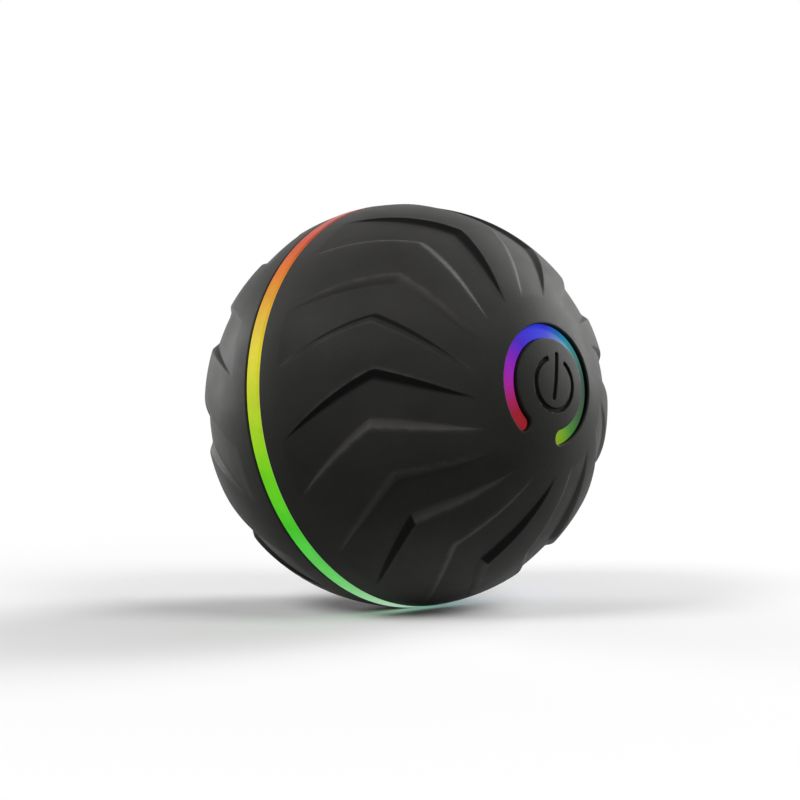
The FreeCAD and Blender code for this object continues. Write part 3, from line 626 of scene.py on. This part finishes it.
def skinPiece():
    pad, bridge = padPiece(), bridgePiece()
    pick(pad)
    bridge.select_set(True)
    bpy.ops.object.join()
    piece = newPiece("buttonSkin")
    closeSeams(piece)
    # the edge goes straight down and the underside is closed
    topCount = len(piece.data.vertices)
    startEdit("DESELECT", "EDGE")
    bpy.ops.mesh.select_non_manifold()
    bpy.ops.mesh.extrude_region_move(TRANSFORM_OT_translate={"value": (0, millimetre, 0)})
    endEdit()
    places = readPlaces(piece)
    reach = polar(places[topCount:])[0]
    places[topCount:, 1] = buttonSkin["thickness"] - chord(ball["radius"], reach)
    setPlaces(piece, places)
    bpy.ops.object.mode_set(mode="EDIT")
    bpy.ops.mesh.edge_face_add()
    bpy.ops.mesh.quads_convert_to_tris()
    bpy.ops.mesh.select_all(action="SELECT")
    bpy.ops.mesh.normals_make_consistent(inside=False)
    endEdit()
    return piece


skin = skinPiece()
paintHollowShade(skin)
smoothShade(skin, softEdge)
heelTurn = radians(ball["markAngle"])      # the tongue lies straight below the power mark


def alongTongue(distance, y):
    # a place under the tongue, in metres
    return Vector((distance * sin(heelTurn), y, -distance * cos(heelTurn))) * millimetre


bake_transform(skin)
hand(skin, None, "button_rubber", "power_button")
print("button skin:", len(skin.data.polygons), "faces")

# The stem that reaches the switch, and the heel under the tongue
buttonStem = {
    "radius": 2.0,
    "top": 36.9,
    "tip": 27.82,
    "tipTurns": (0, 20, 40, 60, 75),
    "collar": 2.9,
    "collarEnd": 35.35,
    "collarCorners": ((0.0, 0.6), (0.35, 0.2)),     # in from its side, and back from its end
    "steps": 64,
}


def stemPiece():
    reach, top, tip = buttonStem["radius"], -buttonStem["top"], -buttonStem["tip"]
    collar, collarEnd = buttonStem["collar"], -buttonStem["collarEnd"]
    outline = [(0.0, top), (collar, top)]
    outline += [(collar - inward, collarEnd - back) for inward, back in buttonStem["collarCorners"]]
    outline += [(reach, collarEnd)]
    outline += [(reach * cos(radians(turn)), tip - reach + reach * sin(radians(turn)))
                for turn in buttonStem["tipTurns"]]
    return turned("buttonStem", outline + [(0.0, tip)], buttonStem["steps"])


stem = stemPiece()
smoothShade(stem, firmEdge)
hand(stem, "button", "button_rubber", "power_button")

tongueHeel = {
    "radius": 0.85,
    "length": 4.6,
    "distance": 9.95,         # from the axis
    "y": -33.7,
    "sides": 32,
}
tongueRib = {
    "size": (3.68, 1.7, 1.1),
    "inset": 0.2,             # from the heel's middle towards the axis
    "rise": 0.9,              # and towards the button's skin
    "edge": 0.2,
    "edgeSteps": 3,
}


def heelPiece():
    # a round bar across the tongue: a disc at one end, extruded to the other
    deselectAll()
    across = Vector((cos(heelTurn), 0.0, sin(heelTurn))) * tongueHeel["length"] * millimetre
    middle = alongTongue(tongueHeel["distance"], tongueHeel["y"])
    bpy.ops.mesh.primitive_circle_add(
        vertices=tongueHeel["sides"], radius=tongueHeel["radius"] * millimetre,
        fill_type="NGON", location=middle - across / 2, rotation=(0, pi / 2 - heelTurn, 0))
    piece = newPiece("tongueHeel")
    bpy.ops.object.transform_apply()
    startEdit()
    bpy.ops.mesh.extrude_region_move(TRANSFORM_OT_translate={"value": across})
    bpy.ops.mesh.select_all(action="SELECT")
    bpy.ops.mesh.normals_make_consistent(inside=False)
    endEdit()
    return piece


def ribPiece():
    # the block that carries the heel under the tongue, with its edges bevelled
    deselectAll()
    middle = alongTongue(tongueHeel["distance"] - tongueRib["inset"],
                         tongueHeel["y"] - tongueRib["rise"])
    bpy.ops.mesh.primitive_cube_add(size=1, location=middle)
    piece = newPiece("tongueRib")
    piece.scale = Vector(tongueRib["size"]) * millimetre
    bpy.ops.object.transform_apply(location=False, rotation=False, scale=True)
    piece.rotation_euler = (0, -heelTurn, 0)
    bpy.ops.object.transform_apply()
    bevel = piece.modifiers.new("edges", "BEVEL")
    bevel.width = tongueRib["edge"] * millimetre
    bevel.segments = tongueRib["edgeSteps"]
    pick(piece)
    bpy.ops.object.modifier_apply(modifier="edges")
    return piece


heel, rib = heelPiece(), ribPiece()
for piece in (heel, rib):
    smoothShade(piece, firmEdge)
    hand(piece, "button", "button_rubber", "power_button")
print("stem and heel done")

# What every finish is made from: groups with named inputs, most of them used by several materials
texture = {
    "noiseRoughness": 0.55,
    "coarseScale": 0.23,      # of the coarse grain, as a share of the fine grain's
    "coarseShare": 0.3,
    "fineShare": 0.7,
    "driftRange": (0.3, 0.7),     # the values of the noise that are stretched out, for drift
    "wearAndGlintRange": (0.35, 0.65),    # and for edge wear with painted highlights
    "leastWearAndGlint": 0.35,
    "marksAlongZ": 0.02,      # how much tool marks change along Z
    "trackWidth": 0.06,
}


def connect(tree, socket, value):
    # a number or a colour is set on the socket, and another node's output is linked to it
    if isinstance(value, (int, float)):
        socket.default_value = value
    elif isinstance(value, tuple):
        socket.default_value = (*value, 1.0)
    else:
        tree.links.new(value, socket)


def newGroup(name, output, **inputs):
    # every group takes a vector and some numbers, and puts out one number
    group = bpy.data.node_groups.new(name, "ShaderNodeTree")
    group.interface.new_socket("Vector", in_out="INPUT", socket_type="NodeSocketVector")
    for label, value in inputs.items():
        socket = group.interface.new_socket(label, in_out="INPUT", socket_type="NodeSocketFloat")
        socket.default_value = value
    group.interface.new_socket(output, in_out="OUTPUT", socket_type="NodeSocketFloat")
    given = group.nodes.new("NodeGroupInput").outputs
    return group, given, group.nodes.new("NodeGroupOutput").inputs[output]


def addNode(tree, kind, inputs=None, **settings):
    # a new node: its settings, and then its inputs by name or by number
    node = tree.nodes.new("ShaderNode" + kind)
    for label, value in settings.items():
        setattr(node, label, value)
    for label, value in (inputs or {}).items():
        connect(tree, node.inputs[label], value)
    return node


def mathNode(tree, operation, *values):
    return addNode(tree, "Math", dict(enumerate(values)), operation=operation).outputs[0]


def times(tree, first, second):
    return mathNode(tree, "MULTIPLY", first, second)


def noiseNode(tree, vector, scale, detail=3.0):
    inputs = {"Vector": vector, "Scale": scale, "Detail": detail,
              "Roughness": texture["noiseRoughness"]}
    return addNode(tree, "TexNoise", inputs).outputs["Fac"]


def rangeNode(tree, value, fromLow, fromHigh, toLow=0.0, toHigh=1.0, kind="LINEAR"):
    inputs = {"Value": value, "From Min": fromLow, "From Max": fromHigh,
              "To Min": toLow, "To Max": toHigh}
    return addNode(tree, "MapRange", inputs, interpolation_type=kind).outputs["Result"]


def mixColour(tree, factor, first, second):
    # sockets 6 and 7 of this node take the two colours, and output 2 gives theirs
    inputs = {0: factor, 6: first, 7: second}
    return addNode(tree, "Mix", inputs, data_type="RGBA").outputs[2]


def axesOf(tree, vector):
    return addNode(tree, "SeparateXYZ", {0: vector}).outputs


def grainGroup():
    # fine moulded grain: two sizes of bumps
    group, given, wanted = newGroup("mouldedGrain", "Height", Scale=900.0)
    coarseScale = times(group, given["Scale"], texture["coarseScale"])
    fine = noiseNode(group, given["Vector"], given["Scale"], detail=2.0)
    coarse = noiseNode(group, given["Vector"], coarseScale)
    both = mathNode(group, "ADD", times(group, fine, texture["fineShare"]),
                    times(group, coarse, texture["coarseShare"]))
    group.links.new(both, wanted)
    return group


def driftGroup():
    # slow change over the surface, between two values
    group, given, wanted = newGroup("slowDrift", "Value", Scale=60.0, Low=0.0, High=1.0)
    drift = noiseNode(group, given["Vector"], given["Scale"], detail=4.0)
    drift = rangeNode(group, drift, *texture["driftRange"], given["Low"], given["High"])
    group.links.new(drift, wanted)
    return group


def turnedMarksGroup():
    # fine tool marks round an axis through a piece, along Y
    group, given, wanted = newGroup("turnedMarks", "Height", Scale=2500.0, Along=0.0)
    x, y, z = axesOf(group, given["Vector"])
    squares = mathNode(group, "ADD", times(group, x, x), times(group, z, z))
    axes = {0: mathNode(group, "SQRT", squares), 1: times(group, y, given["Along"]),
            2: times(group, z, texture["marksAlongZ"])}
    place = addNode(group, "CombineXYZ", axes).outputs[0]
    group.links.new(noiseNode(group, place, given["Scale"], detail=2.0), wanted)
    return group


def turnShareGroup():
    # share of a turn round the rolling axis, counted from Start, from +Z towards -X
    group, given, wanted = newGroup("turnShare", "Share", Start=0.0, Turns=1.0)
    x, y, z = axesOf(group, given["Vector"])
    turn = mathNode(group, "ARCTAN2", times(group, x, -1.0), z)
    share = mathNode(group, "SUBTRACT", mathNode(group, "DIVIDE", turn, 2 * pi), given["Start"])
    share = times(group, share, given["Turns"])
    group.links.new(mathNode(group, "FLOORED_MODULO", share, 1.0), wanted)
    return group


def acrossMaskGroup():
    # 0 in the middle of the ring and 1 past To on both sides of it
    group, given, wanted = newGroup("acrossMask", "Mask", From=0.001, To=0.002)
    across = mathNode(group, "ABSOLUTE", axesOf(group, given["Vector"])[1])
    group.links.new(rangeNode(group, across, given["From"], given["To"]), wanted)
    return group


def edgeWearAndGlintGroup():
    # edge wear with painted highlights: where a value painted on the mesh is high, broken up by
    # noise
    group, given, wanted = newGroup("edgeWearAndGlint", "Mask", Edge=0.0, Scale=350.0)
    broken = noiseNode(group, given["Vector"], given["Scale"], detail=4.0)
    share = rangeNode(group, broken, *texture["wearAndGlintRange"], texture["leastWearAndGlint"])
    amount = times(group, given["Edge"], share)
    group.links.new(mathNode(group, "MINIMUM", amount, 1.0), wanted)
    return group


def tracksGroup():
    # copper tracks under a board's lacquer: the joints of a brick pattern in the board's plane
    group, given, wanted = newGroup("boardTracks", "Mask", Scale=500.0)
    turn = addNode(group, "Mapping", {"Vector": given["Vector"]})
    turn.inputs["Rotation"].default_value = (pi / 2, 0, 0)
    inputs = {"Vector": turn.outputs[0], "Scale": given["Scale"],
              "Mortar Size": texture["trackWidth"]}
    group.links.new(addNode(group, "TexBrick", inputs).outputs["Fac"], wanted)
    return group


groups = {"grain": grainGroup(), "drift": driftGroup(), "turned": turnedMarksGroup(),
          "turnShare": turnShareGroup(), "acrossMask": acrossMaskGroup(),
          "edgeWearAndGlint": edgeWearAndGlintGroup(), "tracks": tracksGroup()}


class Finish:
    # one material: a Principled shader with the nodes that feed it
    def __init__(self, name):
        self.material = bpy.data.materials.new(name)
        self.material.use_nodes = True
        self.tree = self.material.node_tree
        self.shader = self.tree.nodes["Principled BSDF"]
        self.vector = addNode(self.tree, "TexCoord").outputs["Object"]

    def place(self, groupName, **values):
        inputs = {"Vector": self.vector, **values}
        return addNode(self.tree, "Group", inputs, node_tree=groups[groupName]).outputs[0]

    def mixed(self, factor, first, second):
        return mixColour(self.tree, factor, first, second)

    def ramp(self, share, stops):
        node = addNode(self.tree, "ValToRGB", {0: share})
        band = node.color_ramp
        while len(band.elements) < len(stops):
            band.elements.new(0.5)
        for element, (place, colour) in zip(band.elements, stops):
            element.position = place
            element.color = (*colour, 1.0)
        return node.outputs["Color"]

    def attribute(self, name):
        return addNode(self.tree, "Attribute", attribute_name=name).outputs["Fac"]

    def feed(self, label, value):
        self.tree.links.new(value, self.shader.inputs[label])

    def bump(self, height, distance):
        inputs = {"Height": height, "Distance": distance * millimetre}
        self.feed("Normal", addNode(self.tree, "Bump", inputs).outputs[0])

    def drift(self, scale, low=0.0, high=1.0):
        return self.place("drift", Scale=scale, Low=low, High=high)

    def roughness(self, scale, low, high):
        self.feed("Roughness", self.drift(scale, low, high))

    def fix(self, **values):
        for label, value in values.items():
            self.shader.inputs[label.replace("_", " ")].default_value = value


def dress(piece, finish):
    piece.data.materials.clear()
    piece.data.materials.append(finish.material)


# Rubber of the covers, the button and the stopper
rubber = {
    "colour": (0.026, 0.0255, 0.0245),
    "paler": (0.042, 0.041, 0.039),
    "toneScale": 45.0,
    # paler rubber, for worn lug edges with their painted highlights and for painted light on walls
    "wearAndLight": (0.078, 0.076, 0.073),
    "wearAndGlintScale": 420.0,
    "wallLight": 0.45,         # painted light on the lit walls, as a share of the way towards the wear-and-light colour
    # near-black painted shade for hollows, shaded walls and the pressed-in mark
    "hollow": (0.003, 0.003, 0.003),
    "roughness": (0.45, 0.56),
    "shineScale": 110.0,
    "specular": 0.06,
    "grainScale": 2600.0,
    "grainHeight": 0.04,      # in mm, like all heights below
}


def rubberFinish(name, hollowNames=(), onTread=False):
    finish = Finish(name)
    tone = finish.drift(rubber["toneScale"])
    colour = finish.mixed(tone, rubber["colour"], rubber["paler"])
    if onTread:
        # painted light: the lit walls are painted paler
        pale = times(finish.tree, finish.attribute("paintedWallLight"), rubber["wallLight"])
        # worn lug edges, with painted highlights where they catch light
        wearAndLight = finish.place("edgeWearAndGlint", Edge=finish.attribute("lugEdgeWearAndGlint"), Scale=rubber["wearAndGlintScale"])
        for mask in (pale, wearAndLight):
            colour = finish.mixed(mask, colour, rubber["wearAndLight"])
    # painted shade: each mask darkens the rubber towards near-black
    for hollowName in hollowNames:
        colour = finish.mixed(finish.attribute(hollowName), colour, rubber["hollow"])
    finish.feed("Base Color", colour)
    finish.roughness(rubber["shineScale"], *rubber["roughness"])
    finish.fix(Specular_IOR_Level=rubber["specular"])
    finish.bump(finish.place("grain", Scale=rubber["grainScale"]), rubber["grainHeight"])
    return finish


# the covers' rubber is painted near-black as painted shade in the hollows and on the shaded groove
# walls, and paler as painted light on the lit walls
coverRubber = rubberFinish("coverRubber", ["hollowShade", "paintedWallShade"], onTread=True)
dress(buttonCover, coverRubber)
dress(chargingCover, coverRubber)
# the button's rubber is painted near-black as painted shade in the slot's hollow and inside the
# pressed-in mark
dress(skin, rubberFinish("buttonRubber", ["hollowShade", "inMark"]))
hiddenRubber = rubberFinish("plainRubber")
for piece in (stem, heel, rib, frame["nodes"]["charging_plug"]):
    dress(piece, hiddenRubber)
print("rubber done")

# The light ring and the light arc glow in a rainbow that runs round the rolling axis. Each
# colour has its place, as a share of the ring's turn or of the arc.
ringLight = {
    "blush": (0.0, (0.30, 0.13, 0.12)),
    "rose": (0.06, (0.42, 0.075, 0.07)),
    "red": (0.10, (0.60, 0.07, 0.02)),
    "orange": (0.134, (0.78, 0.18, 0.018)),
    "amber": (0.165, (0.76, 0.38, 0.018)),
    "yellow": (0.205, (0.77, 0.66, 0.016)),
    "lime": (0.25, (0.48, 0.68, 0.016)),
    "leaf": (0.30, (0.16, 0.67, 0.008)),
    "green": (0.345, (0.06, 0.62, 0.02)),
    "jade": (0.40, (0.14, 0.66, 0.13)),
    "mint": (0.46, (0.44, 0.70, 0.48)),
    "cyan": (0.56, (0.03, 0.26, 0.34)),
    "blue": (0.68, (0.03, 0.06, 0.60)),
    "violet": (0.79, (0.18, 0.02, 0.55)),
    "magenta": (0.90, (0.42, 0.02, 0.32)),
    "blushAgain": (1.0, (0.30, 0.13, 0.12)),
}
arcLight = {
    "red": (0.06, (0.30, 0.013, 0.022)),
    "crimson": (0.11, (0.36, 0.016, 0.10)),
    "magenta": (0.17, (0.36, 0.018, 0.33)),
    "violet": (0.25, (0.25, 0.015, 0.47)),
    "indigo": (0.33, (0.06, 0.018, 0.52)),
    "blue": (0.42, (0.03, 0.038, 0.66)),
    "blueAgain": (0.475, (0.03, 0.038, 0.66)),
    "azure": (0.53, (0.02, 0.15, 0.45)),
    "cyan": (0.58, (0.03, 0.27, 0.36)),
    "teal": (0.635, (0.07, 0.22, 0.20)),
    "dusk": (0.71, (0.05, 0.105, 0.085)),
    "moss": (0.84, (0.055, 0.12, 0.055)),
    "green": (0.90, (0.055, 0.22, 0.035)),
    "lime": (0.945, (0.16, 0.34, 0.015)),
    "yellow": (0.99, (0.26, 0.39, 0.012)),
}
# Lit milky plastic: its own colour is a dim copy of the light behind it
glow = {
    "cloudScale": 260.0,
    "cloudShare": 0.12,       # how much darker the light is where it is weakest
    "rimFrom": 0.00152,       # the ring's painted rim highlights, from its middle
    "rimTo": 0.00172,
    "rimShare": 0.16,
    "rimHighlight": (0.85, 0.85, 0.75),
    "unlit": (0.006, 0.006, 0.006),
    "unlitScale": 500.0,
    "unlitShare": (0.90, 0.96),
    "roughness": 0.36,
    "specular": 0.05,
    "grainScale": 1500.0,
    "grainHeight": 0.01,
    "ringStrength": 0.9,
    "arcStrength": 0.95,
    "arcGap": 43.0,           # the arc's colours run round all but this angle
}


def glowFinish(name, stops, strength, start, turns, rimHighlights=False):
    finish = Finish(name)
    share = finish.place("turnShare", Start=start, Turns=turns)
    colour = finish.ramp(share, list(stops.values()))
    cloud = finish.drift(glow["cloudScale"], high=glow["cloudShare"])
    colour = finish.mixed(cloud, colour, (0.0, 0.0, 0.0))
    if rimHighlights:
        # painted highlights along the ring's two rims
        rims = finish.place("acrossMask", From=glow["rimFrom"], To=glow["rimTo"])
        rims = times(finish.tree, rims, glow["rimShare"])
        colour = finish.mixed(rims, colour, glow["rimHighlight"])
    unlit = finish.drift(glow["unlitScale"], *glow["unlitShare"])
    finish.feed("Base Color", finish.mixed(unlit, colour, glow["unlit"]))
    finish.feed("Emission Color", colour)
    finish.fix(Emission_Strength=strength, Roughness=glow["roughness"],
               Specular_IOR_Level=glow["specular"])
    finish.bump(finish.place("grain", Scale=glow["grainScale"]), glow["grainHeight"])
    return finish


dress(frame["nodes"]["light_band"],
      glowFinish("glowingRing", ringLight, glow["ringStrength"], 0.0, 1.0, rimHighlights=True))
arcStart = (180.0 + ball["markAngle"] - glow["arcGap"] / 2) / 360.0
arcTurns = -360.0 / (360.0 - glow["arcGap"])
dress(frame["nodes"]["button_light_arc"],
      glowFinish("glowingArc", arcLight, glow["arcStrength"], arcStart, arcTurns))
print("glow done")

# Finishes of the pieces inside, by material slot: a dark and a pale colour, the lowest and the
# highest roughness, and the grain's scale and height
plainFinishes = {
    "cup_plastic": ((0.022, 0.022, 0.024), (0.034, 0.034, 0.036), (0.42, 0.55), 1600.0, 0.03),
    "chassis_plastic": ((0.58, 0.58, 0.55), (0.68, 0.68, 0.65), (0.38, 0.50), 1300.0, 0.02),
    "gear_plastic": ((0.72, 0.72, 0.66), (0.80, 0.80, 0.76), (0.28, 0.38), 900.0, 0.01),
    "motor_cap_plastic": ((0.62, 0.62, 0.57), (0.72, 0.72, 0.68), (0.35, 0.48), 1500.0, 0.01),
    "strap_plastic": ((0.010, 0.010, 0.010), (0.020, 0.020, 0.021), (0.50, 0.62), 2400.0, 0.03),
    "component_plastic": ((0.008, 0.008, 0.009), (0.018, 0.018, 0.019), (0.34, 0.46), 3000.0, 0.01),
    "switch_plastic": ((0.012, 0.012, 0.013), (0.022, 0.022, 0.024), (0.36, 0.50), 2400.0, 0.01),
    "plunger_plastic": ((0.68, 0.68, 0.66), (0.78, 0.78, 0.77), (0.22, 0.32), 1800.0, 0.01),
    "battery_wrap": ((0.020, 0.075, 0.24), (0.035, 0.11, 0.31), (0.20, 0.34), 240.0, 0.08),
    "lead_film": ((0.42, 0.19, 0.02), (0.54, 0.26, 0.03), (0.20, 0.32), 500.0, 0.02),
    "strip_film": ((0.70, 0.64, 0.48), (0.80, 0.75, 0.60), (0.24, 0.36), 700.0, 0.02),
}
# For metals the last two are the scale of the tool marks and how much they change along Y
metalFinishes = {
    "pinion_brass": ((0.55, 0.36, 0.11), (0.68, 0.48, 0.18), (0.22, 0.34), 4200.0, 1.0),
    "bush_brass": ((0.40, 0.24, 0.09), (0.54, 0.36, 0.15), (0.34, 0.48), 3400.0, 0.3),
    "weight_steel": ((0.085, 0.085, 0.09), (0.15, 0.15, 0.155), (0.36, 0.52), 900.0, 0.5),
    "bright_steel": ((0.44, 0.45, 0.47), (0.58, 0.59, 0.60), (0.16, 0.28), 3000.0, 1.0),
    "zinc_screws": ((0.46, 0.47, 0.50), (0.60, 0.61, 0.64), (0.22, 0.34), 2200.0, 1.0),
    "clip_steel": ((0.020, 0.020, 0.022), (0.038, 0.038, 0.040), (0.38, 0.52), 2600.0, 0.4),
    "motor_steel": ((0.48, 0.48, 0.50), (0.60, 0.60, 0.61), (0.20, 0.32), 2400.0, 1.0),
    "port_metal": ((0.52, 0.52, 0.53), (0.64, 0.64, 0.65), (0.18, 0.30), 2000.0, 1.0),
}
inside = {
    "toneScale": 90.0,
    "plainShineScale": 210.0,
    "metalShineScale": 300.0,
    "marksHeight": 0.006,
}
board = {
    "dark": (0.004, 0.060, 0.020),
    "pale": (0.008, 0.095, 0.034),
    "toneScale": 150.0,
    "tracks": (0.03, 0.17, 0.06),
    "tracksScale": 420.0,
    "tracksHeight": 0.02,
    "roughness": (0.20, 0.34),
    "shineScale": 240.0,
}


def plainFinish(name, dark, pale, rough, grainScale, grainHeight):
    finish = Finish(name)
    finish.feed("Base Color", finish.mixed(finish.drift(inside["toneScale"]), dark, pale))
    finish.roughness(inside["plainShineScale"], *rough)
    finish.bump(finish.place("grain", Scale=grainScale), grainHeight)
    return finish


def metalFinish(name, dark, pale, rough, marksScale, along):
    finish = Finish(name)
    marks = finish.place("turned", Scale=marksScale, Along=along)
    finish.feed("Base Color", finish.mixed(marks, dark, pale))
    finish.roughness(inside["metalShineScale"], *rough)
    finish.fix(Metallic=1.0)
    finish.bump(marks, inside["marksHeight"])
    return finish


def boardFinish():
    finish = Finish("board_laminate")
    tracks = finish.place("tracks", Scale=board["tracksScale"])
    lacquer = finish.mixed(finish.drift(board["toneScale"]), board["dark"], board["pale"])
    finish.feed("Base Color", finish.mixed(tracks, lacquer, board["tracks"]))
    finish.roughness(board["shineScale"], *board["roughness"])
    finish.bump(tracks, board["tracksHeight"])
    return finish


finishes = {name: plainFinish(name, *look) for name, look in plainFinishes.items()}
finishes.update({name: metalFinish(name, *look) for name, look in metalFinishes.items()})
finishes["board_laminate"] = boardFinish()
for row in frame["record"]["subparts"]:
    if row["material_slot"] in finishes:
        dress(frame["nodes"][row["node"]], finishes[row["material_slot"]])
print("inside finishes:", len(finishes))

# The floor touches the ball where it rests; it turns white further out and has no underside
stage = {
    "normal": Vector((0.0, -0.12205, 0.99252)),
    "size": 8.0,
    "colour": (0.78, 0.78, 0.78),
    "bounce": (0.05, 0.05, 0.05),     # its colour to the light it throws back from further out
    "bounceReach": (0.03, 0.06),      # where that starts and where it is complete
    "whiteReach": (0.045, 0.20),      # and the same for the white
}


def whiteRays(tree):
    # 1 for the rays that see the background: from the camera, and those mirrored or refracted
    rays = addNode(tree, "LightPath").outputs
    seen = mathNode(tree, "MAXIMUM", rays["Is Camera Ray"], rays["Is Glossy Ray"])
    return mathNode(tree, "MAXIMUM", seen, rays["Is Transmission Ray"])


def floorMaterial(contact):
    material = bpy.data.materials.new("paleFloor")
    material.use_nodes = True
    tree = material.node_tree
    tree.nodes.clear()
    place = addNode(tree, "TexCoord").outputs["Object"]
    away = addNode(tree, "VectorMath", {0: place}, operation="DISTANCE")
    away.inputs[1].default_value = contact
    distance, seen = away.outputs["Value"], whiteRays(tree)
    # pale where it is seen and near the ball, and dim to the light it throws back elsewhere
    near = rangeNode(tree, distance, *stage["bounceReach"], 1.0, 0.0)
    near = mathNode(tree, "MAXIMUM", near, seen)
    colour = mixColour(tree, near, stage["bounce"], stage["colour"])
    pale = addNode(tree, "BsdfDiffuse", {"Color": colour}).outputs[0]
    white = addNode(tree, "Emission").outputs[0]
    far = rangeNode(tree, distance, *stage["whiteReach"], kind="SMOOTHSTEP")
    top = addNode(tree, "MixShader", {0: times(tree, far, seen), 1: pale, 2: white}).outputs[0]
    below = addNode(tree, "NewGeometry").outputs["Backfacing"]
    clear = addNode(tree, "BsdfTransparent").outputs[0]
    surface = addNode(tree, "MixShader", {0: below, 1: top, 2: clear}).outputs[0]
    addNode(tree, "OutputMaterial", {"Surface": surface})
    return material


contact = stage["normal"] * (-ball["radius"] * millimetre)
deselectAll()
bpy.ops.mesh.primitive_plane_add(size=stage["size"], location=contact)
floor = newPiece("floor")
floor.rotation_euler = stage["normal"].to_track_quat("Z", "Y").to_euler()
bpy.ops.object.transform_apply()
floor.data.materials.append(floorMaterial(contact))

# World: white where it is seen, and a soft grey light on everything else
scene = bpy.context.scene
world = scene.world = bpy.data.worlds.new("studio")
world.use_nodes = True
worldTree = world.node_tree
worldLight = 0.04
seenStrength = rangeNode(worldTree, whiteRays(worldTree), 0.0, 1.0, worldLight, 1.0)
backdrop = worldTree.nodes["Background"]
backdrop.inputs["Color"].default_value = (1, 1, 1, 1)
worldTree.links.new(seenStrength, backdrop.inputs["Strength"])

# Soft lamps all round: two high in front, two behind the sides and one high at the right
lampSize = 0.4
lamps = {                     # place in metres and power in watts
    "leftFront": ((-0.581, -0.012, 0.550), 3.5),
    "rightFront": ((0.078, -0.644, 0.468), 2.6),
    "leftBack": ((-0.185, 0.738, 0.248), 4.2),
    "rightBack": ((0.744, -0.208, 0.201), 5.5),
    "highRight": ((0.644, -0.095, 0.464), 2.6),
}
for name, (place, power) in lamps.items():
    light = bpy.data.lights.new(name, "AREA")
    light.shape = "DISK"
    light.size = lampSize
    light.energy = power
    holder = bpy.data.objects.new(name, light)
    scene.collection.objects.link(holder)
    holder.location = place
    holder.rotation_euler = Vector(place).to_track_quat("Z", "Y").to_euler()

# The camera of the photograph
cameraLook = {
    "place": (-7.8846, -8.0923, -0.6157),     # in ball radii
    "right": (0.71862, -0.68964, -0.08929),
    "up": (0.02464, -0.10306, 0.99437),
    "forward": (0.69496, 0.71678, 0.05707),
    "lens": 102.24,
    "sensor": 36.0,
    "clip": (0.005, 50),
}
camera = bpy.data.objects.new("camera", bpy.data.cameras.new("camera"))
scene.collection.objects.link(camera)
place = Vector(cameraLook["place"]) * ball["radius"] * millimetre
turn = Matrix((cameraLook["right"], cameraLook["up"], -Vector(cameraLook["forward"])))
camera.matrix_world = Matrix.Translation(place) @ turn.transposed().to_4x4()
camera.data.lens = cameraLook["lens"]
camera.data.sensor_width = cameraLook["sensor"]
camera.data.clip_start, camera.data.clip_end = cameraLook["clip"]
scene.camera = camera
scene.view_settings.view_transform = "Standard"
print("floor, lamps and camera done")

deselectAll()
print("scene ready")
